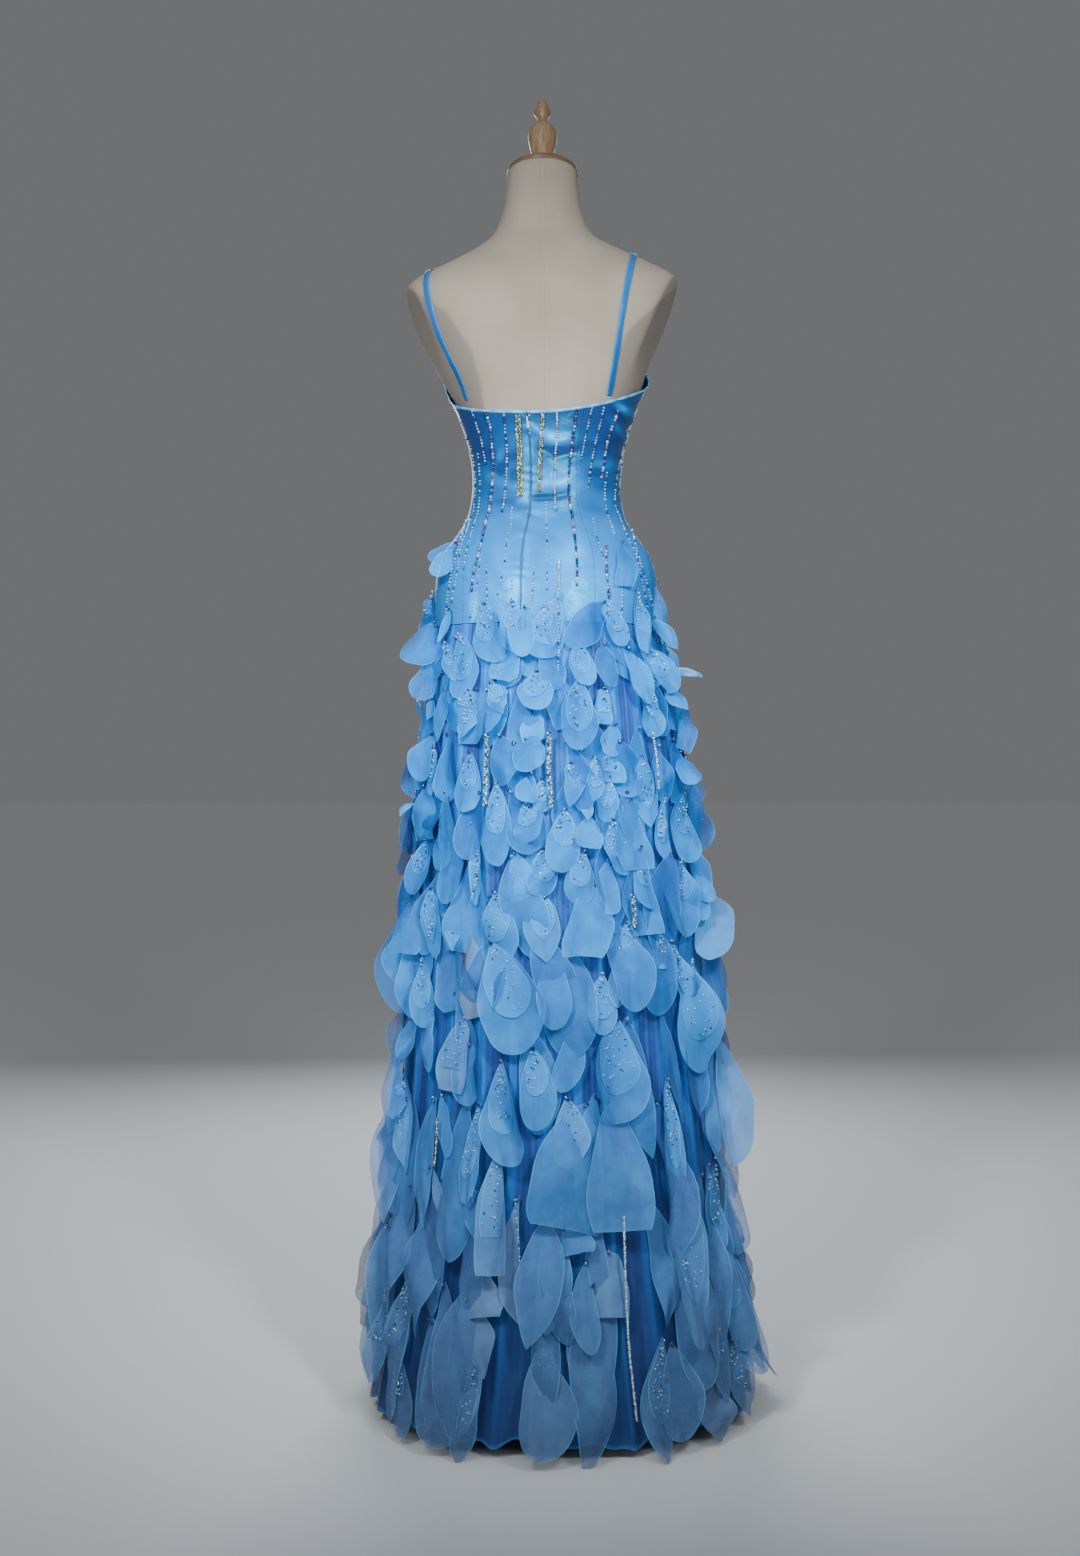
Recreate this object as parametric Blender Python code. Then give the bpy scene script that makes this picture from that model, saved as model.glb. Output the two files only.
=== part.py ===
"""A floor-length prom dress on a limbless dress form, modelled in metres with +Z up.

The front of the dress faces -Y and the wearer's left is +X. The origin is the centre of the stand's
underside, on the floor. Angles around the dress run from +X through the centre back at 90 degrees.
"""

import math
import random

import bmesh
import bpy
import numpy as np
from mathutils import Matrix, Vector
from mathutils.bvhtree import BVHTree

# Cloth and seams
SATIN = 0.0015
ORGANZA = 0.0012
SEAM_GAP = 0.0003
ZIP_GAP = 0.0010
SHARP_EDGE = math.radians(50)

# Heights of the garment
HEM = 0.012
UNDERSKIRT_HEM = 0.030
DROP_WAIST = 1.050
BODICE_HEM = DROP_WAIST + 0.0006

# Dress form and stand
FORM_BOTTOM = 0.930
NECK_TOP = 1.676
NECK_BEND = 1.600
CAP_TILT = math.radians(17)
CAP_RADIUS = 0.049
CAP_THICKNESS = 0.008
CAP_EDGE = 0.0024
CAP_SIDES = 32
FINIAL_SIDES = 14
POLE_RADIUS = 0.0125
POLE_SIDES = 16
BASE_RADIUS = 0.160
BASE_SIDES = 40
COLLAR_TOP = 0.045
BASE_PROFILE = (
    # height, radius
    (0.0000, BASE_RADIUS),
    (0.0055, BASE_RADIUS),
    (0.0090, BASE_RADIUS - 0.006),
    (0.0110, POLE_RADIUS + 0.012),
    (COLLAR_TOP, POLE_RADIUS + 0.004),
)

# The form, a general figure, read smoothly between these sections
FORM = (
    # height, centre x, half width, front, back, squareness
    (0.930, -0.005, 0.134, 0.088, 0.104, 2.1),
    (0.960, -0.005, 0.142, 0.095, 0.114, 2.1),
    (1.040, -0.005, 0.146, 0.100, 0.120, 2.2),
    (1.110, -0.005, 0.146, 0.098, 0.112, 2.2),
    (1.150, -0.005, 0.137, 0.094, 0.099, 2.2),
    (1.175, -0.005, 0.120, 0.091, 0.092, 2.2),
    (1.200, -0.005, 0.105, 0.089, 0.086, 2.1),
    (1.240, -0.005, 0.097, 0.087, 0.083, 2.1),
    (1.280, -0.005, 0.099, 0.088, 0.084, 2.1),
    (1.320, -0.005, 0.108, 0.093, 0.088, 2.2),
    (1.360, -0.004, 0.123, 0.101, 0.093, 2.3),
    (1.400, -0.002, 0.145, 0.106, 0.097, 2.4),
    (1.440, 0.002, 0.168, 0.102, 0.099, 2.5),
    (1.480, 0.003, 0.188, 0.092, 0.098, 2.6),
    (1.510, 0.000, 0.190, 0.078, 0.090, 2.7),
    (1.530, -0.007, 0.178, 0.066, 0.080, 2.6),
    (1.550, -0.009, 0.142, 0.058, 0.068, 2.4),
    (1.570, -0.006, 0.103, 0.054, 0.058, 2.2),
    (1.590, -0.001, 0.072, 0.053, 0.048, 2.0),
    (1.620, 0.000, 0.056, 0.054, 0.040, 2.0),
    (1.650, 0.000, 0.050, 0.055, 0.036, 2.0),
    (1.676, 0.000, 0.047, 0.056, 0.035, 2.0),
)
FORM_RINGS = (0.930, 0.935, 0.960, 1.010, 1.060, 1.110, 1.150, 1.175, 1.200, 1.240, 1.290, 1.335,
              1.370, 1.400, 1.440, 1.480, 1.508, 1.528, 1.544, 1.560, 1.580, 1.605, 1.640, 1.676)
FORM_SIDES = 30
FORM_EDGE_ROUND = 0.006

# The flat ends where the arms would be, as planes that face out, down and back
ARM_CUTS = (
    # side, distance from the middle at the shoulder
    (1, 0.183),
    (-1, 0.175),
)
ARM_CUT_HEIGHT = 1.500
ARM_CUT_DOWN = math.radians(22)
ARM_CUT_BACK = math.radians(10)
ARM_CUT_REACH = 0.30

# The bust of the form, and the fuller cups that the bodice's princess seams are cut to
BUST_RISE = 0.026
CUP_RISE = 0.034
BUST_HEIGHT = 1.405
BUST_SPREAD = 0.045
BUST_ANGLE = math.radians(27)
BUST_WIDTH = math.radians(21)

# How far the bodice stands off the form, from the drop waist up
EASE = (
    # height, distance
    (DROP_WAIST, 0.0047),
    (1.150, 0.0042),
    (1.200, 0.0031),
    (1.330, 0.0031),
    (1.400, 0.0046),
    (1.480, 0.0036),
)

# Top edge of the bodice around the dress: low at the back, a sweetheart line over the cups
NECKLINE = (
    # angle in degrees, height
    (0, 1.364),
    (30, 1.346),
    (60, 1.337),
    (90, 1.335),
    (120, 1.345),
    (150, 1.363),
    (180, 1.385),
    (210, 1.420),
    (236, 1.456),
    (256, 1.444),
    (270, 1.420),
    (284, 1.444),
    (304, 1.456),
    (330, 1.410),
)
BINDING_HEIGHT = 0.004
BINDING_GAP = 0.0006
BINDING_THICKNESS = 0.0018

# Bodice panels between their seams, in degrees
PANELS = (
    # name, first seam, last seam, columns
    ("bodice_side_back_left", 0, 45, 5),
    ("bodice_back_left", 45, 79, 4),
    ("bodice_back_right", 79, 113, 4),
    ("bodice_side_back_right", 113, 180, 7),
    ("bodice_side_front_right", 180, 242, 7),
    ("bodice_front", 242, 298, 8),
    ("bodice_side_front_left", 298, 360, 7),
)
PANEL_ROWS = 9
ZIP_SEAM = 79

# Ring of the overskirt's fold crests, which swings to the wearer's right towards the hem
SKIRT = (
    # height, centre x, half width, front, back, squareness, fold depth
    (HEM, -0.025, 0.262, 0.238, 0.281, 2.3, 0.0105),
    (0.200, -0.024, 0.234, 0.214, 0.246, 2.1, 0.0095),
    (0.440, -0.021, 0.211, 0.182, 0.206, 2.0, 0.0085),
    (0.720, -0.017, 0.193, 0.150, 0.170, 2.0, 0.0070),
    (0.950, -0.010, 0.170, 0.122, 0.142, 2.1, 0.0040),
)
WAIST_SEAM_OUT = 0.0050
WAIST_SEAM_FOLD = 0.0014
FOLDS = 30
FOLD_SWAY = math.radians(1.6)
FOLD_SWAYS = (
    # waves around the skirt, phase, share
    (5, 1.0, 1.0),
    (11, 2.0, 0.5),
)
FOLD_DEPTH = 0.78
FOLD_DEPTHS = (
    # waves around the skirt, phase, share
    (7, 0.0, 0.14),
    (13, 1.0, 0.08),
)
VALLEY_FLOOR = (0.34, 0.66)
UNDERSKIRT_GAP = 0.0006
UNDERSKIRT_COLUMNS = 16

# Petals hang in rows from the folds' crests, every second crest and the next row on those between
PETAL_ROWS = (
    # height of the stitches, length, then how far the tips stand out at the back, left and right
    (1.100, 0.092, 0.010, 0.022, 0.014),
    (1.038, 0.098, 0.012, 0.030, 0.032),
    (0.974, 0.105, 0.014, 0.018, 0.028),
    (0.905, 0.115, 0.014, 0.018, 0.020),
    (0.830, 0.126, 0.016, 0.026, 0.034),
    (0.748, 0.140, 0.018, 0.030, 0.050),
    (0.656, 0.158, 0.018, 0.020, 0.026),
    (0.553, 0.172, 0.020, 0.016, 0.060),
    (0.440, 0.182, 0.022, 0.028, 0.020),
    (0.320, 0.186, 0.026, 0.016, 0.062),
    (0.206, 0.192, 0.036, 0.020, 0.014),
)
PETAL = (
    # how far down the petal, half width as a share of its widest
    (0.00, 0.10),
    (0.48, 1.00),
    (0.68, 1.00),
    (0.88, 0.74),
    (1.00, 0.30),
)
WIDEST = 1.00
STITCH_OUT = 0.0004
LAYER = 0.0048
CUP = 0.006
FLARE_FROM = 0.45
PETAL_WOBBLE = 0.010
PETAL_SHORTEST = 0.90
PETAL_LONGEST = 1.03
PETAL_SWAY = 0.12
LEAST_FLARE = 0.6
TIP_ROUND = 0.04
SIDE_POWER = 4
SEED = 11

# Straps, by guide points on the form from the bodice's back edge over the shoulder to a cup
STRAP_WIDTH = 0.009
STRAP_CLEAR = 0.0007
STRAP_STEPS = 32
LIFT_PASSES = 4
STRAP_LEFT = (
    (0.112, 0.060, 1.352),
    (0.123, 0.070, 1.376),
    (0.144, 0.078, 1.427),
    (0.152, 0.074, 1.480),
    (0.153, 0.048, 1.520),
    (0.150, 0.004, 1.545),
    (0.138, -0.040, 1.525),
    (0.116, -0.084, 1.480),
    (0.096, -0.116, 1.462),
)
STRAP_RIGHT = (
    (-0.092, 0.078, 1.357),
    (-0.100, 0.086, 1.416),
    (-0.109, 0.090, 1.480),
    (-0.118, 0.070, 1.530),
    (-0.124, 0.010, 1.562),
    (-0.118, -0.040, 1.538),
    (-0.106, -0.088, 1.480),
    (-0.094, -0.118, 1.462),
)

ZIP_WIDTH = 0.007
ZIP_THICKNESS = 0.0011
ZIP_OUT = 0.0014

# The turned finial, from the neck cap up
FINIAL = (
    # height, radius
    (0.0000, 0.0170),
    (0.0060, 0.0170),
    (0.0105, 0.0125),
    (0.0300, 0.0152),
    (0.0450, 0.0186),
    (0.0620, 0.0202),
    (0.0710, 0.0165),
    (0.0770, 0.0098),
    (0.0845, 0.0072),
    (0.0905, 0.0088),
    (0.0965, 0.0121),
    (0.1030, 0.0098),
    (0.1105, 0.0072),
    (0.1160, 0.0052),
    (0.1190, 0.0022),
)

MATERIALS = {
    # name: colour, roughness, metallic
    "satin": ((0.085, 0.290, 0.640, 1.0), 0.35, 0.0),
    "organza": ((0.230, 0.520, 0.820, 1.0), 0.50, 0.0),
    "petal_organza": ((0.330, 0.610, 0.870, 1.0), 0.50, 0.0),
    "form_jersey": ((0.560, 0.530, 0.480, 1.0), 0.85, 0.0),
    "turned_wood": ((0.480, 0.300, 0.150, 1.0), 0.45, 0.0),
    "stand_metal": ((0.040, 0.040, 0.045, 1.0), 0.40, 1.0),
    "zip": ((0.060, 0.200, 0.480, 1.0), 0.50, 0.0),
}


# Sections and surfaces


def read(table, at):
    """The columns of a table at a value of its first column, read smoothly between its rows."""
    rows = np.array(table, float)
    i = int(np.clip(np.searchsorted(rows[:, 0], at) - 1, 0, len(rows) - 2))
    low, high = rows[i], rows[i + 1]
    before, after = rows[max(i - 1, 0)], rows[min(i + 2, len(rows) - 1)]
    span = high[0] - low[0]
    t = float(np.clip((at - low[0]) / span, 0, 1))
    slope_low = (high - before) / (high[0] - before[0])
    slope_high = (after - low) / (after[0] - low[0])
    value = (
        (2 * t**3 - 3 * t**2 + 1) * low
        + (t**3 - 2 * t**2 + t) * span * slope_low
        + (3 * t**2 - 2 * t**3) * high
        + (t**3 - t**2) * span * slope_high
    )
    return value[1:]


def read_straight(table, at):
    """The columns of a table at a value of its first column, on straight lines between its rows."""
    rows = np.array(table, float)
    return np.array([np.interp(at, rows[:, 0], column) for column in rows[:, 1:].T])


def grown(section, out):
    """A section (centre x, half width, front, back, squareness) moved out all round."""
    return np.array(section) + np.array([0, out, out, out, 0])


def ring_point(section, angle, height):
    """The point of a section at an angle."""
    centre_x, half_width, front, back, squareness = section
    c, s = math.cos(angle), math.sin(angle)
    power = 2 / squareness
    depth = back if s > 0 else front
    x = centre_x + half_width * math.copysign(abs(c) ** power, c)
    y = depth * math.copysign(abs(s) ** power, s)
    return Vector((x, y, height))


def bust_rise(angle, height, rise):
    """How far the bust stands out of the plain sections."""
    up = math.exp(-(((height - BUST_HEIGHT) / BUST_SPREAD) ** 2))
    front = math.radians(270)
    around = sum(
        math.exp(-(((angle - front - side * BUST_ANGLE) / BUST_WIDTH) ** 2)) for side in (-1, 1)
    )
    return rise * up * around


def form_point(angle, height, out=0.0, rise=BUST_RISE):
    """A point on the form's surface, or off it by out."""
    angle %= math.tau
    point = ring_point(grown(read(FORM, height), out), angle, height)
    bust = bust_rise(angle, height, rise)
    return point + Vector((math.cos(angle) * bust, math.sin(angle) * bust, 0))


def bodice_point(angle, height, out):
    """A point off the form by out, over the bodice's fuller cups."""
    return form_point(angle, height, out, CUP_RISE)


def ease(height):
    return float(read_straight(EASE, height)[0])


def skirt_rows():
    """The crest ring's table with the waist seam on top, worked out from the form."""
    seam = grown(read(FORM, DROP_WAIST), WAIST_SEAM_OUT)
    return SKIRT + ((DROP_WAIST, *seam, WAIST_SEAM_FOLD),)


def skirt_section(height):
    """The crest ring's section and the depth of its folds at a height."""
    values = read_straight(skirt_rows(), height)
    return values[:5], values[5]


def lay_point(angle, height, out):
    """A point off the outermost cloth, which is the bodice or the overskirt's crests."""
    if height >= DROP_WAIST:
        return bodice_point(angle, height, ease(height) + SATIN + out)
    section, _ = skirt_section(height)
    return ring_point(grown(section, ORGANZA + out), angle, height)


def neckline(angle):
    """Height of the bodice's top edge at an angle."""
    degrees = math.degrees(angle) % 360
    last, first = NECKLINE[-1], NECKLINE[0]
    before = ((last[0] - 360, last[1]),)
    after = ((first[0] + 360, first[1]), (NECKLINE[1][0] + 360, NECKLINE[1][1]))
    return float(read(before + NECKLINE + after, degrees)[0])


def waves(table, angle):
    """The sum of a table's waves at an angle."""
    return sum(share * math.sin(count * angle + phase) for count, phase, share in table)


def crest_angle(index):
    """Angle of a fold's crest. The folds are unevenly spaced, and even at the side seams."""
    even = math.tau * index / FOLDS
    return even + FOLD_SWAY * waves(FOLD_SWAYS, even) * math.sin(even) ** 2


def fold_share(index):
    """How deep the fold after a crest is, as a share of the deepest."""
    return FOLD_DEPTH + waves(FOLD_DEPTHS, math.tau * index / FOLDS)


# Building blocks


def clear_scene():
    for old in list(bpy.data.objects):
        bpy.data.objects.remove(old, do_unlink=True)


def make_material(name):
    colour, roughness, metallic = MATERIALS[name]
    material = bpy.data.materials.new(name)
    material.use_nodes = True
    shader = material.node_tree.nodes["Principled BSDF"]
    shader.inputs["Base Color"].default_value = colour
    shader.inputs["Roughness"].default_value = roughness
    shader.inputs["Metallic"].default_value = metallic
    material.diffuse_color = colour
    return material


def add_mesh(name, points, faces, material):
    mesh = bpy.data.meshes.new(name)
    mesh.from_pydata([tuple(p) for p in points], [], faces)
    mesh.materials.append(material)
    mesh.shade_smooth()
    mesh.set_sharp_from_angle(angle=SHARP_EDGE)
    piece = bpy.data.objects.new(name, mesh)
    bpy.context.scene.collection.objects.link(piece)
    return piece


def add_wall(name, points, faces, thickness, material):
    """A sheet of cloth given its thickness on the outer side. The faces' normals point out."""
    piece = add_mesh(name, points, faces, material)
    wall = piece.modifiers.new("wall", "SOLIDIFY")
    wall.thickness = thickness
    wall.offset = 1
    wall.use_even_offset = True
    return piece


def grid_faces(columns, rows):
    """Faces of a grid whose points run column by column, each column from its bottom row up."""
    return [
        (c * rows + r, (c + 1) * rows + r, (c + 1) * rows + r + 1, c * rows + r + 1)
        for c in range(columns - 1)
        for r in range(rows - 1)
    ]


def add_turned(name, profile, sides, material):
    """A solid turned about Z from (height, radius) rows, closed flat at both ends."""
    shape = bmesh.new()
    rings = [
        [
            shape.verts.new((r * math.cos(math.tau * k / sides), r * math.sin(math.tau * k / sides), h))
            for k in range(sides)
        ]
        for h, r in profile
    ]
    for lower, upper in zip(rings, rings[1:]):
        for k in range(sides):
            after = (k + 1) % sides
            shape.faces.new((lower[k], lower[after], upper[after], upper[k]))
    shape.faces.new(list(reversed(rings[0])))
    shape.faces.new(rings[-1])
    mesh = bpy.data.meshes.new(name)
    shape.to_mesh(mesh)
    shape.free()
    mesh.materials.append(material)
    mesh.shade_smooth()
    mesh.set_sharp_from_angle(angle=SHARP_EDGE)
    piece = bpy.data.objects.new(name, mesh)
    bpy.context.scene.collection.objects.link(piece)
    return piece


# The dress form and its stand


def neck_centre():
    """Middle of the neck's top in the side view."""
    _, _, front, back, _ = read(FORM, NECK_TOP)
    return Vector((0, (back - front) / 2, NECK_TOP))


def tilted(point):
    """A neck point lifted so that the neck ends on the cap's slope, higher at the back."""
    share = np.clip((point.z - NECK_BEND) / (NECK_TOP - NECK_BEND), 0, 1)
    lift = (point.y - neck_centre().y) * math.tan(CAP_TILT) * share
    return point + Vector((0, 0, lift))


def build_form_torso(material):
    rows = len(FORM_RINGS)
    points = []
    for side in range(FORM_SIDES):
        angle = math.tau * side / FORM_SIDES
        for height in FORM_RINGS:
            out = -FORM_EDGE_ROUND if height == FORM_BOTTOM else 0.0
            points.append(tilted(form_point(angle, height, out)))
    faces = []
    for side in range(FORM_SIDES):
        after = (side + 1) % FORM_SIDES
        for r in range(rows - 1):
            faces.append((side * rows + r, after * rows + r, after * rows + r + 1, side * rows + r + 1))
    faces.append([side * rows for side in reversed(range(FORM_SIDES))])
    faces.append([side * rows + rows - 1 for side in range(FORM_SIDES)])
    torso = add_mesh("form_torso", points, faces, material)
    for side, middle in ARM_CUTS:
        cut_arm_end(torso, side, middle)
    return torso


def cut_arm_end(torso, side, middle):
    """A flat end where an arm would be, made by a large block outside its plane."""
    bpy.ops.mesh.primitive_cube_add(size=2 * ARM_CUT_REACH)
    block = bpy.context.object
    block.name = f"arm_cut_{side}"
    block.hide_render = True
    block.display_type = "WIRE"
    turn = Matrix.Rotation(side * ARM_CUT_BACK, 4, "Z") @ Matrix.Rotation(side * ARM_CUT_DOWN, 4, "Y")
    outward = turn @ Vector((side, 0, 0))
    on_plane = Vector((side * middle, 0, ARM_CUT_HEIGHT))
    block.matrix_world = Matrix.Translation(on_plane + outward * ARM_CUT_REACH) @ turn
    cut = torso.modifiers.new("arm_cut", "BOOLEAN")
    cut.operation = "DIFFERENCE"
    cut.object = block


def build_neck_cap(material):
    """The wooden cap and its finial stand square to the neck's slope."""
    profile = (
        (0.0, CAP_RADIUS - CAP_EDGE),
        (CAP_EDGE, CAP_RADIUS),
        (CAP_THICKNESS - CAP_EDGE, CAP_RADIUS),
        (CAP_THICKNESS, CAP_RADIUS - CAP_EDGE),
    )
    lean = Matrix.Rotation(CAP_TILT, 4, "X")
    up = lean @ Vector((0, 0, 1))
    cap = add_turned("form_neck_cap", profile, CAP_SIDES, material)
    cap.matrix_world = Matrix.Translation(neck_centre() + up * SEAM_GAP) @ lean
    finial = add_turned("form_finial", FINIAL, FINIAL_SIDES, material)
    finial.matrix_world = Matrix.Translation(neck_centre() + up * (CAP_THICKNESS + 2 * SEAM_GAP)) @ lean


def build_stand(material):
    add_turned("form_base", BASE_PROFILE, BASE_SIDES, material)
    pole = ((COLLAR_TOP + SEAM_GAP, POLE_RADIUS), (FORM_BOTTOM - SEAM_GAP, POLE_RADIUS))
    add_turned("form_pole", pole, POLE_SIDES, material)


# The bodice


def panel_angles(first, last, columns):
    """Angles of a panel's columns, in radians, from seam to seam."""
    return [math.radians(a) for a in np.linspace(first, last, columns + 1)]


def seam_share(seam):
    """Half of the gap at a seam, in metres. The zip's is wider, so that the zip shows."""
    return (ZIP_GAP if seam == ZIP_SEAM else SEAM_GAP) / 2


def build_bodice(material):
    for name, first, last, columns in PANELS:
        angles = panel_angles(first, last, columns)
        points = []
        for k, angle in enumerate(angles):
            top = neckline(angle) - BINDING_HEIGHT - BINDING_GAP
            for height in np.linspace(BODICE_HEM, top, PANEL_ROWS + 1):
                pull = 0.0
                if k == 0:
                    pull = seam_share(first)
                if k == columns:
                    pull = -seam_share(last)
                here = bodice_point(angle, height, ease(height))
                radius = math.hypot(here.x, here.y)
                points.append(bodice_point(angle + pull / radius, height, ease(height)))
        add_wall(name, points, grid_faces(columns + 1, PANEL_ROWS + 1), SATIN, material)


def build_binding(material):
    """A narrow satin binding on the top edge, open at the zip."""
    angles = []
    for _, first, last, columns in PANELS:
        angles += panel_angles(first, last, columns)[:-1]
    turn = angles.index(math.radians(ZIP_SEAM))
    around = angles[turn:] + [a + math.tau for a in angles[:turn]] + [angles[turn] + math.tau]
    edge = form_point(around[0], neckline(around[0]))
    radius = math.hypot(edge.x, edge.y)
    around[0] += ZIP_GAP / radius
    around[-1] -= ZIP_GAP / radius
    points = []
    for angle in around:
        top = neckline(angle)
        out = ease(top) + (SATIN - BINDING_THICKNESS) / 2
        points.append(bodice_point(angle, top - BINDING_HEIGHT, out))
        points.append(bodice_point(angle, top, out))
    add_wall("neckline_binding", points, grid_faces(len(around), 2), BINDING_THICKNESS, material)


def build_zip(material):
    """The concealed zip's tape, just behind the back panels' middle seam."""
    points = []
    seam = math.radians(ZIP_SEAM)
    top = neckline(seam) - BINDING_HEIGHT - BINDING_GAP
    for side in (-1, 1):
        for height in np.linspace(BODICE_HEM, top, PANEL_ROWS + 1):
            point = form_point(seam, height, ZIP_OUT)
            turn = side * ZIP_WIDTH / 2 / math.hypot(point.x, point.y)
            points.append(form_point(seam + turn, height, ZIP_OUT))
    add_wall("zip_tape", points, grid_faces(2, PANEL_ROWS + 1), ZIP_THICKNESS, material)


def smooth_route(guides, steps):
    """Points evenly spread along a smooth curve through the guide points."""
    table = [(k, *guide) for k, guide in enumerate(guides)]
    return [Vector(read(table, at)) for at in np.linspace(0, len(guides) - 1, steps + 1)]


def lift_clear(points, tree):
    """Lifts a strap's points until its straight stretches clear the form too."""
    for _ in range(LIFT_PASSES):
        for first, second in zip(range(len(points) - 2), range(2, len(points))):
            middle = (points[first] + points[second]) / 2
            on_form, normal, _, _ = tree.find_nearest(middle)
            short = max(STRAP_CLEAR - (middle - on_form).dot(normal), 0)
            points[first] = points[first] + normal * short
            points[second] = points[second] + normal * short


def build_strap(name, guides, form, material):
    """A satin strap laid on the form along its guide points."""
    tree = BVHTree.FromPolygons(
        [v.co for v in form.data.vertices], [p.vertices for p in form.data.polygons]
    )
    route = [tree.find_nearest(guide)[0] for guide in smooth_route(guides, STRAP_STEPS)]
    points = []
    last = len(route) - 1
    for k in range(last + 1):
        along = (route[min(k + 1, last)] - route[max(k - 1, 0)]).normalized()
        across = tree.find_nearest(route[k])[1].cross(along).normalized() * STRAP_WIDTH / 2
        for edge in (route[k] - across, route[k] + across):
            on_form, normal, _, _ = tree.find_nearest(edge)
            points.append(on_form + normal * STRAP_CLEAR)
    lift_clear(points, tree)
    add_wall(name, points, grid_faces(last + 1, 2), SATIN, material)


# The skirts


def half_turn(side):
    """The first of a half skirt's crests: the back half runs from the left side seam to the right."""
    return 0 if side == "back" else FOLDS // 2


def build_overskirt(side, material):
    """Half of the organza overskirt: at each fold a crest, then a flat valley."""
    rows = skirt_rows()
    start = half_turn(side)
    points = []
    columns = 0
    for index in range(start, start + FOLDS // 2 + 1):
        crest = crest_angle(index)
        pitch = crest_angle(index + 1) - crest
        spots = [(crest, 0.0)]
        if index < start + FOLDS // 2:
            spots += [(crest + pitch * share, fold_share(index)) for share in VALLEY_FLOOR]
        for angle, depth in spots:
            columns += 1
            for height, *values in rows:
                section = grown(values[:5], -values[5] * depth)
                trim = 0.0
                if index == start and depth == 0:
                    trim = SEAM_GAP / 2 / values[1]
                if index == start + FOLDS // 2:
                    trim = -SEAM_GAP / 2 / values[1]
                points.append(ring_point(section, angle + trim, height))
    add_wall(f"overskirt_{side}", points, grid_faces(columns, len(rows)), ORGANZA, material)


def build_underskirt(side, material):
    """Half of the plain satin underskirt, just inside the overskirt's folds."""
    heights = [UNDERSKIRT_HEM] + [row[0] for row in skirt_rows()[1:]]
    first = crest_angle(half_turn(side))
    points = []
    for column in range(UNDERSKIRT_COLUMNS + 1):
        angle = first + math.pi * column / UNDERSKIRT_COLUMNS
        for height in heights:
            section, fold = skirt_section(height)
            inset = fold + UNDERSKIRT_GAP + SATIN
            trim = {0: 1, UNDERSKIRT_COLUMNS: -1}.get(column, 0) * SEAM_GAP / 2 / section[1]
            points.append(ring_point(grown(section, -inset), angle + trim, height))
    add_wall(f"underskirt_{side}", points, grid_faces(UNDERSKIRT_COLUMNS + 1, len(heights)), SATIN, material)


# The petals


def tip_flare(angle, back, left, right):
    """How far a petal's tip stands out, by where it hangs."""
    side = math.cos(angle)
    target = left if side > 0 else right
    return back + (target - back) * abs(side) ** SIDE_POWER


def petal_spread(rows):
    """For each row of petals, how fast the petals stand out down their length, to clear the next row."""
    drops = [upper[0] - lower[0] for upper, lower in zip(rows, rows[1:])]
    return [LAYER / drop for drop in drops + drops[-1:]]


def build_petals(name, crests, root, length, flares, slope, seed, material):
    """A row of petals, each stitched at its point to a crest and joined to its neighbours where widest."""
    chance = random.Random(seed)
    petals = []
    for crest in crests:
        angle = crest_angle(crest)
        petals.append(
            {
                "angle": angle,
                "left": (crest_angle(crest - 1) - angle) * (1 + PETAL_SWAY * chance.uniform(-1, 1)),
                "right": (crest_angle(crest + 1) - angle) * (1 + PETAL_SWAY * chance.uniform(-1, 1)),
                "root": root + PETAL_WOBBLE * chance.uniform(-1, 1),
                "length": length * chance.uniform(PETAL_SHORTEST, PETAL_LONGEST),
                "flare": tip_flare(angle, *flares) * chance.uniform(LEAST_FLARE, 1),
            }
        )
    points, faces, shared = [], [], {}

    def place(petal, side, down, half):
        """A point of a petal: its angle, height and distance off the cloth."""
        turn = {-1: petal["left"], 0: 0.0, 1: petal["right"]}[side] * half
        fall = petal["length"] * (down - (TIP_ROUND if side and down == 1 else 0.0))
        late = max(down - FLARE_FROM, 0) / (1 - FLARE_FROM)
        out = STITCH_OUT + slope * fall + petal["flare"] * late**2
        if side == 0:
            out += CUP * down**2
        return np.array([petal["angle"] + turn, petal["root"] - fall, out])

    def vertex(number, side, down, half):
        """The index of a point. Where petals join, the neighbours share one halfway between theirs."""
        petal = petals[number]
        here = place(petal, side, down, half)
        beside = (number + side) % len(petals)
        if side and half == WIDEST:
            key = (min(number, beside), max(number, beside), down)
            if key in shared:
                return shared[key]
            there = place(petals[beside], -side, down, half)
            there[0] = here[0] + (there[0] - here[0] + math.pi) % math.tau - math.pi
            here = (here + there) / 2
            shared[key] = len(points)
        points.append(lay_point(*here))
        return len(points) - 1

    for number in range(len(petals)):
        rows = [[vertex(number, side, down, half) for side in (-1, 0, 1)] for down, half in PETAL]
        for upper, lower in zip(rows, rows[1:]):
            faces.append((upper[0], lower[0], lower[1], upper[1]))
            faces.append((upper[1], lower[1], lower[2], upper[2]))
    add_wall(name, points, faces, ORGANZA, material)


def build_petal_rows(material):
    spreads = petal_spread(PETAL_ROWS)
    for number, ((root, length, *flares), slope) in enumerate(zip(PETAL_ROWS, spreads)):
        crests = range(number % 2, FOLDS, 2)
        name = f"petal_row_{number + 1:02d}"
        build_petals(name, crests, root, length, flares, slope, SEED + number, material)


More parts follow.
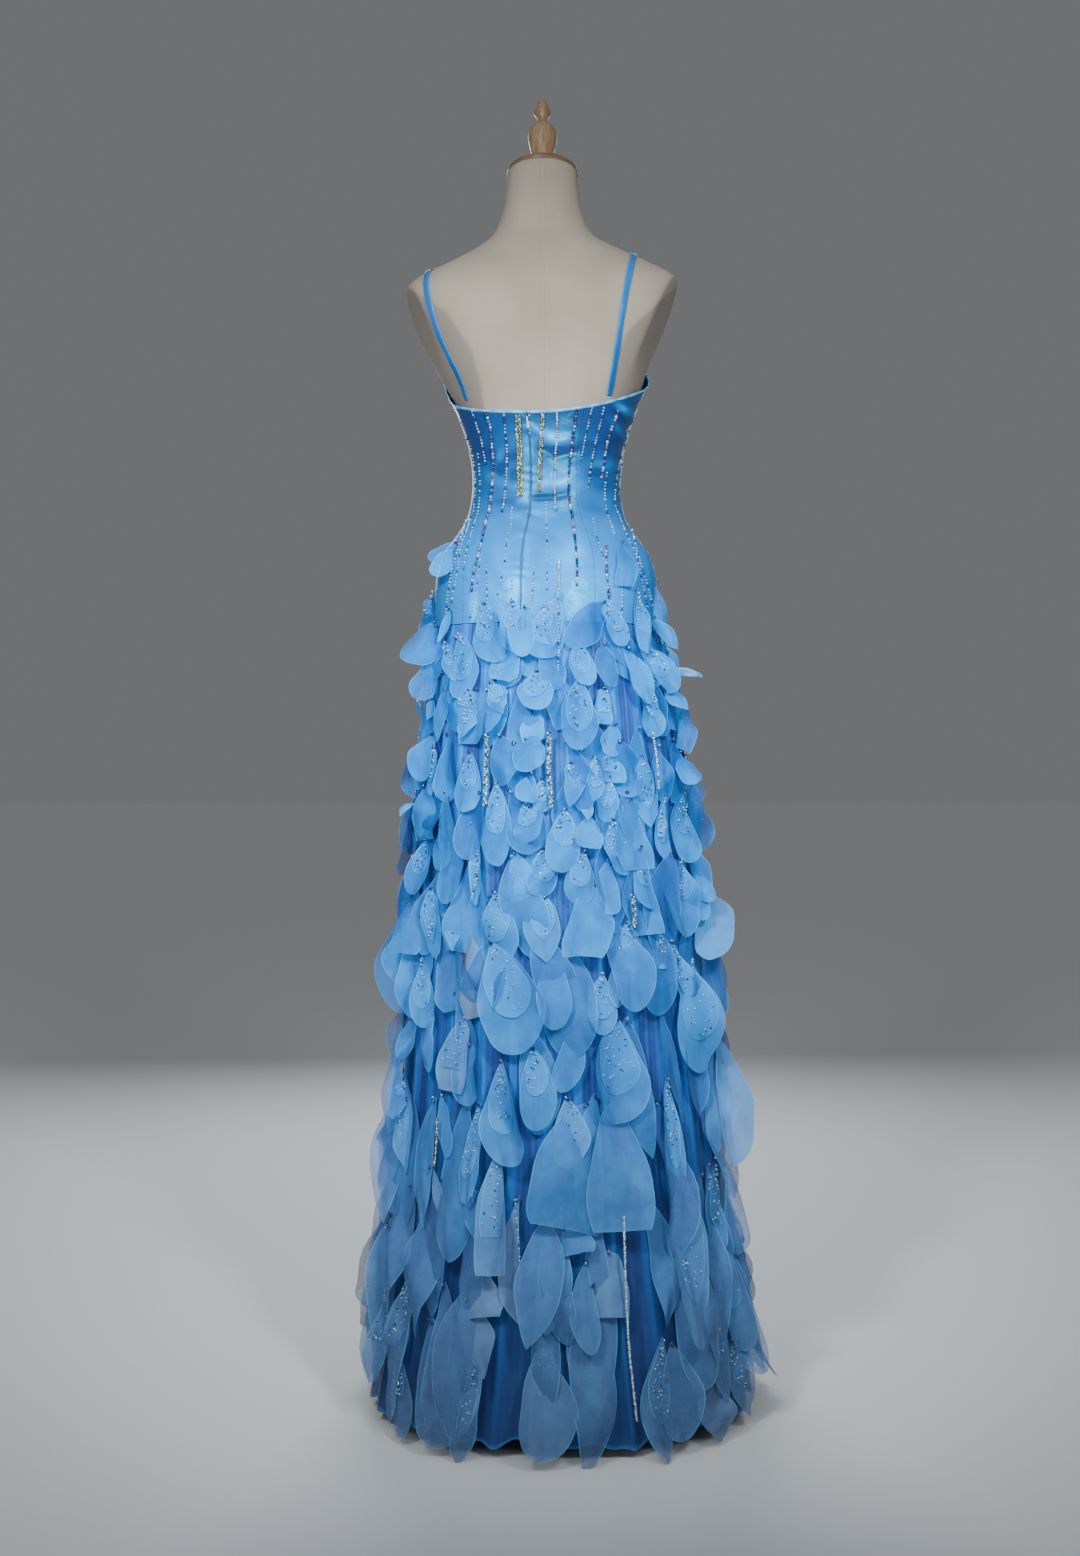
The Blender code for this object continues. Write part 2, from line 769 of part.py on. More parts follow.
def main():
    clear_scene()
    made = {name: make_material(name) for name in MATERIALS}
    form = build_form_torso(made["form_jersey"])
    build_neck_cap(made["turned_wood"])
    build_stand(made["stand_metal"])
    build_bodice(made["satin"])
    build_binding(made["satin"])
    build_zip(made["zip"])
    build_strap("strap_left", STRAP_LEFT, form, made["satin"])
    build_strap("strap_right", STRAP_RIGHT, form, made["satin"])
    for side in ("back", "front"):
        build_overskirt(side, made["organza"])
        build_underskirt(side, made["satin"])
    build_petal_rows(made["petal_organza"])


main()
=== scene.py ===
"""The looks of the prom dress and its dress form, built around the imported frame.

Everything is in metres in the frame's own space. The front of the dress faces -Y and the wearer's
left is +X. Angles around the dress run from +X through the back at 90 degrees. Places read from the
photograph are pixels of its 1080 by 1556 frame, and are put on the cloth that they show.
"""

import math
import random

import bmesh
import bpy
import numpy as np
from mathutils import Matrix, Vector
from mathutils.bvhtree import BVHTree


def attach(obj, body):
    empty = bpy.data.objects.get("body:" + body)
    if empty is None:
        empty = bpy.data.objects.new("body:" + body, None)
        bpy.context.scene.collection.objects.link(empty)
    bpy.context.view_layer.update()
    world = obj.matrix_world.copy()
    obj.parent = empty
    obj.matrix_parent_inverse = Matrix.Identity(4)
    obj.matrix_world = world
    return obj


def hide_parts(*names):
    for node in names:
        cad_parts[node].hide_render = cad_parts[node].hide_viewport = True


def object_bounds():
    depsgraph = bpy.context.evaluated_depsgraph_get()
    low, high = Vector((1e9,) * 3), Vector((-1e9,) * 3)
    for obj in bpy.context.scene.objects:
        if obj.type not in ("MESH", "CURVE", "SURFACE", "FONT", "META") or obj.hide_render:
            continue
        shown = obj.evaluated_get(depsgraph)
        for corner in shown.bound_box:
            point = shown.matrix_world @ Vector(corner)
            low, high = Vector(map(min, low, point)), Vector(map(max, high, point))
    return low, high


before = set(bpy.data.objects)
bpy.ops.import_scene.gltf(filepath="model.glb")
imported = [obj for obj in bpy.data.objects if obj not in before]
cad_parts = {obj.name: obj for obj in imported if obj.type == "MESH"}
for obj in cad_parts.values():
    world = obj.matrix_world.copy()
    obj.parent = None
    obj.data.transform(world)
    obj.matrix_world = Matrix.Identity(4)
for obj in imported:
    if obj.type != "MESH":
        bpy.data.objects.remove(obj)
CAD_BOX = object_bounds()
BODY = "root"

# The photograph and its camera
PHOTO_WIDTH = 1080
PHOTO_HEIGHT = 1556
FOCAL_PIXELS = 1884
SENSOR = 36
CAMERA_PLACE = Vector((0.0035, 2.60, 0.845))
# Where the search for the cloth's depth at a pixel starts, and its steps
DEPTH_GUESS = 0.12
DEPTH_STEPS = 8

# The garment's levels and cloths, as in the frame
SATIN = 0.0015
ORGANZA = 0.0012
SEAM_GAP = 0.0003
ZIP_GAP = 0.0010
HEM = 0.012
UNDERSKIRT_HEM = 0.030
DROP_WAIST = 1.050
BODICE_HEM = DROP_WAIST + 0.0006
FORM_BOTTOM = 0.930
NECK_TOP = 1.676
NECK_BEND = 1.600
CAP_TILT = math.radians(17)
CAP_RADIUS = 0.049
CAP_THICKNESS = 0.008
CAP_EDGE = 0.0024

# The form, read smoothly between these sections
FORM = np.array((
    # height, centre x, half width, front, back, squareness
    (0.930, -0.005, 0.134, 0.088, 0.104, 2.1),
    (0.960, -0.005, 0.142, 0.095, 0.114, 2.1),
    (1.040, -0.005, 0.146, 0.100, 0.120, 2.2),
    (1.110, -0.005, 0.146, 0.098, 0.112, 2.2),
    (1.150, -0.005, 0.137, 0.094, 0.099, 2.2),
    (1.175, -0.005, 0.120, 0.091, 0.092, 2.2),
    (1.200, -0.005, 0.105, 0.089, 0.086, 2.1),
    (1.240, -0.005, 0.097, 0.087, 0.083, 2.1),
    (1.280, -0.005, 0.099, 0.088, 0.084, 2.1),
    (1.320, -0.005, 0.108, 0.093, 0.088, 2.2),
    (1.360, -0.004, 0.123, 0.101, 0.093, 2.3),
    (1.400, -0.002, 0.145, 0.106, 0.097, 2.4),
    (1.440, 0.002, 0.168, 0.102, 0.099, 2.5),
    (1.480, 0.003, 0.188, 0.092, 0.098, 2.6),
    (1.510, 0.000, 0.190, 0.078, 0.090, 2.7),
    (1.530, -0.007, 0.178, 0.066, 0.080, 2.6),
    (1.550, -0.009, 0.142, 0.058, 0.068, 2.4),
    (1.570, -0.006, 0.103, 0.054, 0.058, 2.2),
    (1.590, -0.001, 0.072, 0.053, 0.048, 2.0),
    (1.620, 0.000, 0.056, 0.054, 0.040, 2.0),
    (1.650, 0.000, 0.050, 0.055, 0.036, 2.0),
    (1.676, 0.000, 0.047, 0.056, 0.035, 2.0),
))
FORM_COLUMNS = 180
FORM_ROWS = 230
ARM_CUTS = (
    # side, distance from the middle at the shoulder
    (1, 0.183),
    (-1, 0.175),
)
ARM_CUT_HEIGHT = 1.500
ARM_CUT_DOWN = math.radians(22)
ARM_CUT_BACK = math.radians(10)
ARM_CUT_EDGE = 0.003
ARM_CUT_FROM = 1.375
ARM_CUT_FADE = 0.05
# The arm ends' painted shade: its soft edge in pixels, and where it begins at the back
ARM_END_SHADE_SOFT = 3
ARM_END_SHADE_EDGES = np.array((
    # pixel down, pixels across at which the arm ends' painted shade begins on the left and on the right
    (286, 404, 676),
    (302, 431, 659),
    (312, 446, 648),
    (331, 459, 628),
    (348, 471, 620),
    (381, 480, 614),
    (420, 486, 611),
))
BUST_RISE = 0.026
CUP_RISE = 0.034
BUST_HEIGHT = 1.405
BUST_SPREAD = 0.045
BUST_ANGLE = math.radians(27)
BUST_WIDTH = math.radians(21)
EASE = np.array((
    # height, how far the bodice stands off the form
    (DROP_WAIST, 0.0047),
    (1.150, 0.0042),
    (1.200, 0.0031),
    (1.330, 0.0031),
    (1.400, 0.0046),
    (1.480, 0.0036),
))
NECKLINE = (
    # angle in degrees, height of the bodice's top edge
    (0, 1.364),
    (30, 1.346),
    (60, 1.337),
    (90, 1.335),
    (120, 1.345),
    (150, 1.363),
    (180, 1.385),
    (210, 1.420),
    (236, 1.456),
    (256, 1.444),
    (270, 1.420),
    (284, 1.444),
    (304, 1.456),
    (330, 1.410),
)
BINDING_HEIGHT = 0.004
BINDING_THICKNESS = 0.0020
BINDING_STEPS = 420
BINDING_SIDES = 12
BINDING_LAP = 0.6
PANELS = (
    # name, first seam, last seam, in degrees
    ("bodice_side_back_left", 0, 45),
    ("bodice_back_left", 45, 79),
    ("bodice_back_right", 79, 113),
    ("bodice_side_back_right", 113, 180),
    ("bodice_side_front_right", 180, 242),
    ("bodice_front", 242, 298),
    ("bodice_side_front_left", 298, 360),
)
ZIP_SEAM = 79
PANEL_STEP = 0.0030
SEAM_TURN = 0.0001
SEAM_SOFT = 0.0006
ZIP_TURN = 0.0005
# The size of the stitches' ripples, how far they reach from a seam and how they slant on its two sides
PUCKER = 0.0008
PUCKER_REACH = 0.007
PUCKER_SLANTS = (150, -110)
# A panel's rows and columns: distances from the seams, then even steps between two more
PANEL_ROWS = 110
PANEL_CLOSE = (0, 0.0005, 0.0012, 0.0022)
PANEL_EVEN_FROM = 0.0035
PANEL_EVEN_TO = 0.0034
# The radius that turns a seam's gap into an angle, and how close the satin may come to the form
BODICE_RADIUS = 0.11
BODICE_LEAST = 0.0016
CREASE_DEEPEST = -0.0030
# How much of the zip's gap shows, and how dark the painted shade along its seam is and how far that reaches
ZIP_CLOSED = 0.6
ZIP_SEAM_SHADE = 0.6
ZIP_SEAM_SHADE_REACH = 0.0010

# The satin's painted light and shade: the tone at the top, the painted highlight that the hips add,
# the pixels down over which they do, and what a metre of crease or of pucker adds in painted light and shade
PAINTED_TONE_TOP = 0.10
PAINTED_HIP_LIGHT = 0.45
HIP_LIGHT_FROM = 436
HIP_LIGHT_DEEP = 120
PAINTED_CREASE_SHADE = 160
PAINTED_PUCKER_SHADE = 260

# The depth at which the back's creases and sheens are read
BACK_DEPTH = 0.1

# Creases of the fitted satin, along lines between two pixels
CREASES = (
    # first pixel across, down, second pixel across, down, spread and rise in metres
    (534, 425, 552, 440, 0.0052, 0.0022),
    (550, 440, 572, 437, 0.0056, 0.0020),
    (541, 446, 556, 455, 0.0056, -0.0022),
    (556, 455, 578, 449, 0.0060, -0.0024),
    (545, 470, 553, 482, 0.0045, 0.0014),
    (540, 486, 566, 480, 0.0060, 0.0022),
    (562, 478, 580, 470, 0.0070, 0.0016),
    (532, 497, 552, 496, 0.0036, -0.0024),
    (552, 496, 570, 491, 0.0050, -0.0018),
    (530, 508, 556, 514, 0.0050, 0.0012),
    (478, 446, 500, 456, 0.0080, -0.0016),
    (500, 458, 520, 452, 0.0070, -0.0014),
    (484, 470, 504, 478, 0.0070, 0.0012),
    (500, 482, 522, 486, 0.0060, 0.0012),
    (490, 498, 526, 502, 0.0060, -0.0014),
    (503, 516, 524, 511, 0.0060, 0.0010),
    (616, 397, 642, 416, 0.0040, 0.0024),
    (613, 404, 637, 424, 0.0040, -0.0024),
    (610, 414, 628, 430, 0.0050, 0.0014),
    (584, 444, 606, 437, 0.0070, -0.0016),
    (604, 438, 628, 436, 0.0060, -0.0020),
    (592, 462, 622, 458, 0.0070, 0.0014),
    (590, 480, 614, 484, 0.0080, -0.0010),
    (580, 504, 616, 510, 0.0080, -0.0008),
    (527, 567, 606, 567, 0.0014, -0.0007),
    (500, 590, 520, 580, 0.0080, 0.0012),
    (508, 602, 524, 612, 0.0060, 0.0014),
    (486, 560, 506, 600, 0.0090, -0.0010),
    (566, 540, 590, 556, 0.0100, 0.0010),
    (540, 532, 566, 545, 0.0080, -0.0008),
)

# Where the satin shines or lies in shade: pixel, spread across and down, how much
SHEENS = (
    (556, 435, 14, 6, 0.80),
    (535, 428, 5, 3, 0.40),
    (598, 437, 10, 4, 0.30),
    (499, 453, 5, 6, 0.40),
    (548, 467, 6, 8, 0.15),
    (566, 481, 15, 6, 0.70),
    (522, 498, 5, 3, 0.50),
    (626, 402, 9, 3, 0.70),
    (568, 562, 24, 28, 0.42),
    (500, 575, 14, 30, 0.25),
    (474, 607, 5, 20, 0.60),
    (526, 556, 4, 22, 0.30),
    (517, 586, 6, 10, 0.50),
    (612, 590, 18, 24, 0.25),
    (488, 520, 14, 14, 0.15),
    (532, 413, 22, 8, -0.40),
    (580, 412, 14, 8, -0.25),
    (470, 430, 10, 20, -0.20),
    (557, 451, 12, 6, -0.60),
    (550, 496, 17, 3, -0.70),
    (500, 467, 5, 7, -0.40),
    (514, 474, 5, 9, -0.35),
    (527, 509, 10, 6, -0.30),
    (585, 447, 10, 8, -0.15),
    (618, 438, 10, 6, -0.50),
    (632, 410, 10, 3, -0.40),
    (598, 468, 8, 5, -0.40),
    (594, 545, 8, 16, -0.15),
)

# The skirt's ring of fold crests
SKIRT = (
    # height, centre x, half width, front, back, squareness, fold depth
    (HEM, -0.025, 0.262, 0.238, 0.281, 2.3, 0.0105),
    (0.200, -0.024, 0.234, 0.214, 0.246, 2.1, 0.0095),
    (0.440, -0.021, 0.211, 0.182, 0.206, 2.0, 0.0085),
    (0.720, -0.017, 0.193, 0.150, 0.170, 2.0, 0.0070),
    (0.950, -0.010, 0.170, 0.122, 0.142, 2.1, 0.0040),
)
WAIST_SEAM_OUT = 0.0050
WAIST_SEAM_FOLD = 0.0014
FOLDS = 30
FOLD_SWAY = math.radians(1.6)
FOLD_SWAYS = (
    # waves around the skirt, phase, share
    (5, 1.0, 1.0),
    (11, 2.0, 0.5),
)
FOLD_DEPTH = 0.78
FOLD_DEPTHS = (
    # waves around the skirt, phase, share
    (7, 0.0, 0.14),
    (13, 1.0, 0.08),
)
SKIRT_COLUMNS = 420
SKIRT_ROWS = 120
SKIRT_SPLIT = 0.0008
HEM_EDGES = (HEM, HEM + 0.0012)
# The overskirt's hem wanders up and down by this much, less and less up to this far above it
HEM_SWAY = 0.008
HEM_SWAY_REACH = 0.09
HEM_RIM = 0.35
UNDERSKIRT_GAP = 0.0006
UNDERSKIRT_COLUMNS = 200
UNDERSKIRT_ROWS = 90
UNDERSKIRT_RIPPLE = 0.0016

# Straps, by guide points on the form
STRAP_HALF = 0.0045
STRAP_THICK = 0.0008
STRAP_CLEAR = 0.0008
STRAP_STEPS = 150
STRAP_SIDES = 14
STRAPS = {
    "strap_left": (
        (0.112, 0.060, 1.352),
        (0.123, 0.070, 1.376),
        (0.144, 0.078, 1.427),
        (0.152, 0.074, 1.480),
        (0.153, 0.048, 1.520),
        (0.150, 0.004, 1.545),
        (0.138, -0.040, 1.525),
        (0.116, -0.084, 1.480),
        (0.096, -0.116, 1.462),
    ),
    "strap_right": (
        (-0.092, 0.078, 1.357),
        (-0.100, 0.086, 1.416),
        (-0.109, 0.090, 1.480),
        (-0.118, 0.070, 1.530),
        (-0.124, 0.010, 1.562),
        (-0.118, -0.040, 1.538),
        (-0.106, -0.088, 1.480),
        (-0.094, -0.118, 1.462),
    ),
}

FINIAL = (
    # height, radius
    (0.0000, 0.0170),
    (0.0060, 0.0170),
    (0.0105, 0.0125),
    (0.0300, 0.0152),
    (0.0450, 0.0186),
    (0.0620, 0.0202),
    (0.0710, 0.0165),
    (0.0770, 0.0098),
    (0.0845, 0.0072),
    (0.0905, 0.0088),
    (0.0965, 0.0121),
    (0.1030, 0.0098),
    (0.1105, 0.0072),
    (0.1160, 0.0052),
    (0.1190, 0.0022),
)
TURNED_SIDES = 72
TURNED_SHARP = math.radians(40)
FINIAL_ROWS = 90
FINIAL_LEAST = 0.0012

# Petals: root heights, lengths and widths of the rows, from the hips to the hem
PETAL_ROWS = (
    # root height, length, width, how far the tips stand out
    (1.100, 0.078, 0.046, 0.014),
    (1.038, 0.080, 0.047, 0.016),
    (0.974, 0.082, 0.048, 0.018),
    (0.905, 0.092, 0.050, 0.018),
    (0.830, 0.108, 0.056, 0.020),
    (0.748, 0.126, 0.064, 0.024),
    (0.656, 0.146, 0.072, 0.024),
    (0.553, 0.166, 0.080, 0.028),
    (0.440, 0.182, 0.082, 0.028),
    (0.320, 0.186, 0.084, 0.028),
    (0.206, 0.178, 0.082, 0.026),
)
PETAL_KINDS = {
    # power at the root, power at the tip, share of the length kept by a straight cut
    "drop": (0.95, 0.50, 1.00),
    "round": (0.70, 0.50, 1.00),
    "leaf": (0.85, 0.90, 1.00),
    "slim": (1.10, 0.60, 1.00),
    "cut": (0.80, 0.42, 0.86),
    "crushed": (0.62, 0.48, 1.00),
    "folded": (0.74, 0.40, 0.88),
    "panel": (0.40, 0.25, 0.88),
    "kite": (1.00, 0.24, 0.90),
}
PETAL_DOWN_STEPS = 17
PETAL_ACROSS = (-0.78, -0.52, -0.26, 0.0, 0.26, 0.52, 0.78)
PETAL_RIM = 0.0012
# How much paler a petal's tip is than its point, a painted highlight, and the angles between which petals at
# the back face
PETAL_TIP_HIGHLIGHT = 0.45
PETAL_FACES = (math.radians(28), math.radians(152))
# Painted shade: organza greys from one height down to the floor, and darkens from another
SHADE_GREY_FROM = 0.85
SHADE_GREY_SHARE = 0.62
HEM_SHADE_FROM = 0.42
# How far petals may stand out of the frame's box, as a share of its size and in metres
BOX_SHARE = 0.028
BOX_PROUD = 0.009
FLOOR_GAP = 0.0015
SEED = 11


# Sections and surfaces


def read(table, at):
    """The columns of a table at values of its first column, read smoothly between its rows."""
    rows = np.asarray(table, float)
    at = np.asarray(at, float)
    i = np.clip(np.searchsorted(rows[:, 0], at) - 1, 0, len(rows) - 2)
    low, high = rows[i], rows[i + 1]
    before, after = rows[np.maximum(i - 1, 0)], rows[np.minimum(i + 2, len(rows) - 1)]
    span = (high[..., 0] - low[..., 0])[..., None]
    t = np.clip((at - low[..., 0])[..., None] / span, 0, 1)
    slope_low = (high - before) / (high[..., 0] - before[..., 0])[..., None]
    slope_high = (after - low) / (after[..., 0] - low[..., 0])[..., None]
    value = (
        (2 * t**3 - 3 * t**2 + 1) * low
        + (t**3 - 2 * t**2 + t) * span * slope_low
        + (3 * t**2 - 2 * t**3) * high
        + (t**3 - t**2) * span * slope_high
    )
    return value[..., 1:]


def read_straight(table, at):
    """The columns of a table at values of its first column, on straight lines between its rows."""
    rows = np.asarray(table, float)
    return np.stack([np.interp(at, rows[:, 0], column) for column in rows[:, 1:].T], axis=-1)


def grown(section, out):
    """Sections (centre x, half width, front, back, squareness) moved out all round."""
    out = np.asarray(out, float)
    return section + np.stack([0 * out, out, out, out, 0 * out], axis=-1)


def ring_point(section, angle, height):
    """Points of sections at angles."""
    angle, height = np.asarray(angle, float), np.asarray(height, float)
    c, s = np.cos(angle), np.sin(angle)
    power = 2 / section[..., 4]
    depth = np.where(s > 0, section[..., 3], section[..., 2])
    x = section[..., 0] + section[..., 1] * np.sign(c) * np.abs(c) ** power
    y = depth * np.sign(s) * np.abs(s) ** power
    return np.stack([x, y, height + 0 * x], axis=-1)


def bust_rise(angle, height, rise):
    """How far the bust stands out of the plain sections."""
    up = np.exp(-(((height - BUST_HEIGHT) / BUST_SPREAD) ** 2))
    front = math.radians(270)
    around = sum(np.exp(-(((angle - front - side * BUST_ANGLE) / BUST_WIDTH) ** 2)) for side in (-1, 1))
    return rise * up * around


def form_point(angle, height, out=0.0, rise=BUST_RISE):
    """Points on the form's surface, or off it by out."""
    angle, height = np.broadcast_arrays(np.mod(angle, math.tau), np.asarray(height, float))
    out = out + 0 * angle
    points = ring_point(grown(read(FORM, height), out), angle, height)
    bust = bust_rise(angle, height, rise)
    return points + np.stack([np.cos(angle) * bust, np.sin(angle) * bust, 0 * bust], axis=-1)


def ease(height):
    return read_straight(EASE, height)[..., 0]


def skirt_rows():
    """The crest ring's table with the waist seam on top, worked out from the form."""
    seam = grown(read(FORM, DROP_WAIST), WAIST_SEAM_OUT)
    return np.array(SKIRT + ((DROP_WAIST, *seam, WAIST_SEAM_FOLD),))


SKIRT_RINGS = skirt_rows()


def lay_section(height, out):
    """Sections off the outermost cloth, which is the bodice or the overskirt's crests."""
    height = np.asarray(height, float)
    above = grown(read(FORM, np.maximum(height, DROP_WAIST)), ease(height) + SATIN + out)
    below = grown(read_straight(SKIRT_RINGS, height)[..., :5], ORGANZA + out)
    return np.where((height >= DROP_WAIST)[..., None], above, below)


def lay_point(angle, height, out):
    return ring_point(lay_section(height, out), angle, height)


def clearance(points):
    """How far points stand off the outermost cloth, along rays from its middle."""
    section = lay_section(points[..., 2], np.zeros(points.shape[:-1]))
    x, y = points[..., 0] - section[..., 0], points[..., 1]
    depth = np.where(y > 0, section[..., 3], section[..., 2])
    power = section[..., 4]
    size = (np.abs(x / section[..., 1]) ** power + np.abs(y / depth) ** power) ** (1 / power)
    return np.hypot(x, y) * (1 - 1 / np.maximum(size, 1e-6))


def pushed_out(points, need):
    """Points moved away from the middle until they stand off the outermost cloth by what they need."""
    section = lay_section(points[..., 2], np.zeros(points.shape[:-1]))
    x, y = points[..., 0] - section[..., 0], points[..., 1]
    radius = np.maximum(np.hypot(x, y), 1e-6)
    short = np.maximum(need - clearance(points), 0)
    return points + np.stack([x / radius * short, y / radius * short, 0 * x], axis=-1)


def neckline(angle):
    """Height of the bodice's top edge at angles."""
    degrees = np.mod(np.degrees(angle), 360)
    last, first, second = NECKLINE[-1], NECKLINE[0], NECKLINE[1]
    table = ((last[0] - 360, last[1]),) + NECKLINE + ((360, first[1]), (second[0] + 360, second[1]))
    return read(table, degrees)[..., 0]


def waves(table, angle):
    """The sum of a table's waves at angles."""
    return sum(share * np.sin(count * angle + phase) for count, phase, share in table)


# The photograph's frame


def on_photo(points):
    """The pixels at which points show."""
    away = CAMERA_PLACE.y - points[..., 1]
    u = PHOTO_WIDTH / 2 - FOCAL_PIXELS * (points[..., 0] - CAMERA_PLACE.x) / away
    v = PHOTO_HEIGHT / 2 - FOCAL_PIXELS * (points[..., 2] - CAMERA_PLACE.z) / away
    return u, v


def at_depth(u, v, y):
    """The point that shows at a pixel and lies at a depth."""
    away = CAMERA_PLACE.y - y
    return np.array((
        CAMERA_PLACE.x + (PHOTO_WIDTH / 2 - u) * away / FOCAL_PIXELS,
        y,
        CAMERA_PLACE.z + (PHOTO_HEIGHT / 2 - v) * away / FOCAL_PIXELS,
    ))


def on_dress(u, v, out=0.0):
    """Angle and height of the back's cloth at a pixel, and how far beyond its edge the pixel is."""
    y = DEPTH_GUESS
    for _ in range(DEPTH_STEPS):
        x, _, z = at_depth(u, v, y)
        section = lay_section(z, out)
        reach = (x - section[0]) / section[1]
        inside = np.clip(reach, -1, 1)
        angle = math.acos(math.copysign(abs(inside) ** (section[4] / 2), inside))
        y = float(ring_point(section, angle, z)[1])
    beyond = math.copysign(max(abs(reach) - 1, 0) * section[1], reach)
    return angle, z, beyond


# Building blocks


def add_mesh(name, points, faces, material, values=None):
    """A smooth piece that rides on the part. Values are attributes with a number for every point."""
    mesh = bpy.data.meshes.new(name)
    mesh.from_pydata(np.asarray(points, float).reshape(-1, 3).tolist(), [], faces)
    mesh.materials.append(material)
    mesh.shade_smooth()
    for key, numbers in (values or {}).items():
        layer = mesh.attributes.new(key, "FLOAT", "POINT")
        layer.data.foreach_set("value", np.asarray(numbers, np.float32).ravel())
    piece = bpy.data.objects.new(name, mesh)
    bpy.context.scene.collection.objects.link(piece)
    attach(piece, BODY)
    return piece


def grid_faces(columns, rows, closed=False):
    """Faces of a grid whose points run column by column, each column from its first row on."""
    faces = []
    for c in range(columns if closed else columns - 1):
        here, beside = c * rows, (c + 1) % columns * rows
        faces += [(here + r, beside + r, beside + r + 1, here + r + 1) for r in range(rows - 1)]
    return faces


def tube_faces(rings, sides):
    """Faces of an open tube whose points run ring by ring."""
    faces = []
    for ring in range(rings - 1):
        here, beside = ring * sides, (ring + 1) * sides
        for k in range(sides):
            after = (k + 1) % sides
            faces.append((here + k, here + after, beside + after, beside + k))
    return faces


class Gathered:
    """Separate sheets gathered into one mesh."""

    def __init__(self):
        self.points, self.faces, self.values, self.count = [], [], {}, 0

    def add(self, points, faces, **values):
        flat = np.asarray(points, float).reshape(-1, 3)
        self.points.append(flat)
        self.faces += [tuple(self.count + k for k in face) for face in faces]
        for key, numbers in values.items():
            self.values.setdefault(key, []).append(np.broadcast_to(numbers, (len(flat),)))
        self.count += len(flat)

    def build(self, name, material):
        values = {key: np.concatenate(parts) for key, parts in self.values.items()}
        return add_mesh(name, np.concatenate(self.points), self.faces, material, values)


def turned(name, profile, sides, material, place):
    """A solid turned about its own Z from (height, radius) rows."""
    around = np.linspace(0, math.tau, sides, endpoint=False)
    points = [(r * math.cos(a), r * math.sin(a), h) for a in around for h, r in profile]
    rows = len(profile)
    faces = grid_faces(sides, rows, closed=True)
    faces.append([side * rows for side in reversed(range(sides))])
    faces.append([side * rows + rows - 1 for side in range(sides)])
    moved = [place @ Vector(p) for p in points]
    piece = add_mesh(name, moved, faces, material)
    piece.data.set_sharp_from_angle(angle=TURNED_SHARP)
    return piece


# Materials


class Look:
    """A Principled material with a few nodes chained into it."""

    def __init__(self, name, colour, roughness, **constant):
        self.material = bpy.data.materials.new(name)
        self.material.use_nodes = True
        self.nodes = self.material.node_tree.nodes
        self.links = self.material.node_tree.links
        self.shader = self.nodes["Principled BSDF"]
        self.shader.inputs["Base Color"].default_value = (*colour, 1)
        self.shader.inputs["Roughness"].default_value = roughness
        for key, value in constant.items():
            self.shader.inputs[key.replace("_", " ")].default_value = value
        self.place = self.nodes.new("ShaderNodeTexCoord").outputs["Object"]

    def node(self, kind, output, *given, **settings):
        """An output of a new node. Its inputs are pairs of a name and a value or another node's output."""
        node = self.nodes.new("ShaderNode" + kind)
        for key, value in settings.items():
            setattr(node, key, value)
        for key, value in given:
            if isinstance(value, bpy.types.NodeSocket):
                self.links.new(value, node.inputs[key])
            else:
                node.inputs[key].default_value = value
        return node.outputs[output]

    def noise(self, scale, detail=3.0, stretch=(1, 1, 1)):
        stretched = self.node("Mapping", "Vector", ("Scale", stretch), ("Vector", self.place))
        return self.node("TexNoise", "Fac", ("Scale", scale), ("Detail", detail), ("Vector", stretched))

    def bands(self, scale, axis, distortion=0.0):
        given = ("Scale", scale), ("Distortion", distortion), ("Vector", self.place)
        return self.node("TexWave", "Fac", *given, bands_direction=axis)

    def height(self):
        return self.node("SeparateXYZ", "Z", (0, self.place))

    def attribute(self, name):
        return self.node("Attribute", "Fac", attribute_name=name)

    def sums(self, operation, first, second):
        return self.node("Math", 0, (0, first), (1, second), operation=operation)

    def between(self, share, low, high, start=0.0, end=1.0):
        """A number that goes from low to high as share goes from start to end."""
        given = ("From Min", start), ("From Max", end), ("To Min", low), ("To Max", high), ("Value", share)
        return self.node("MapRange", "Result", *given)

    def mixed(self, share, first, second):
        """A colour between two colours or colour sockets."""
        pair = [(*value, 1) if isinstance(value, tuple) else value for value in (first, second)]
        return self.node("Mix", 2, (0, share), (6, pair[0]), (7, pair[1]), data_type="RGBA")

    def bump(self, height, distance, strength=1.0, after=None):
        """A normal from a height, on top of an earlier normal if there is one."""
        given = [("Distance", distance), ("Strength", strength), ("Height", height)]
        if after is not None:
            given.append(("Normal", after))
        return self.node("Bump", "Normal", *given)

    def feeds(self, socket, value):
        self.links.new(value, self.shader.inputs[socket])
        return self


# The colours that satin turns to in the light and that some petals are greyed with
SATIN_GLINT = (0.11, 0.62, 1.00)
ASHEN = (0.185, 0.280, 0.480)
# The stitch lines of the form's fell seam: its middle, half its width, and a line's width
FELL_MIDDLE = 0.0005
FELL_HALF = 0.0032
FELL_GROOVE = 0.0009


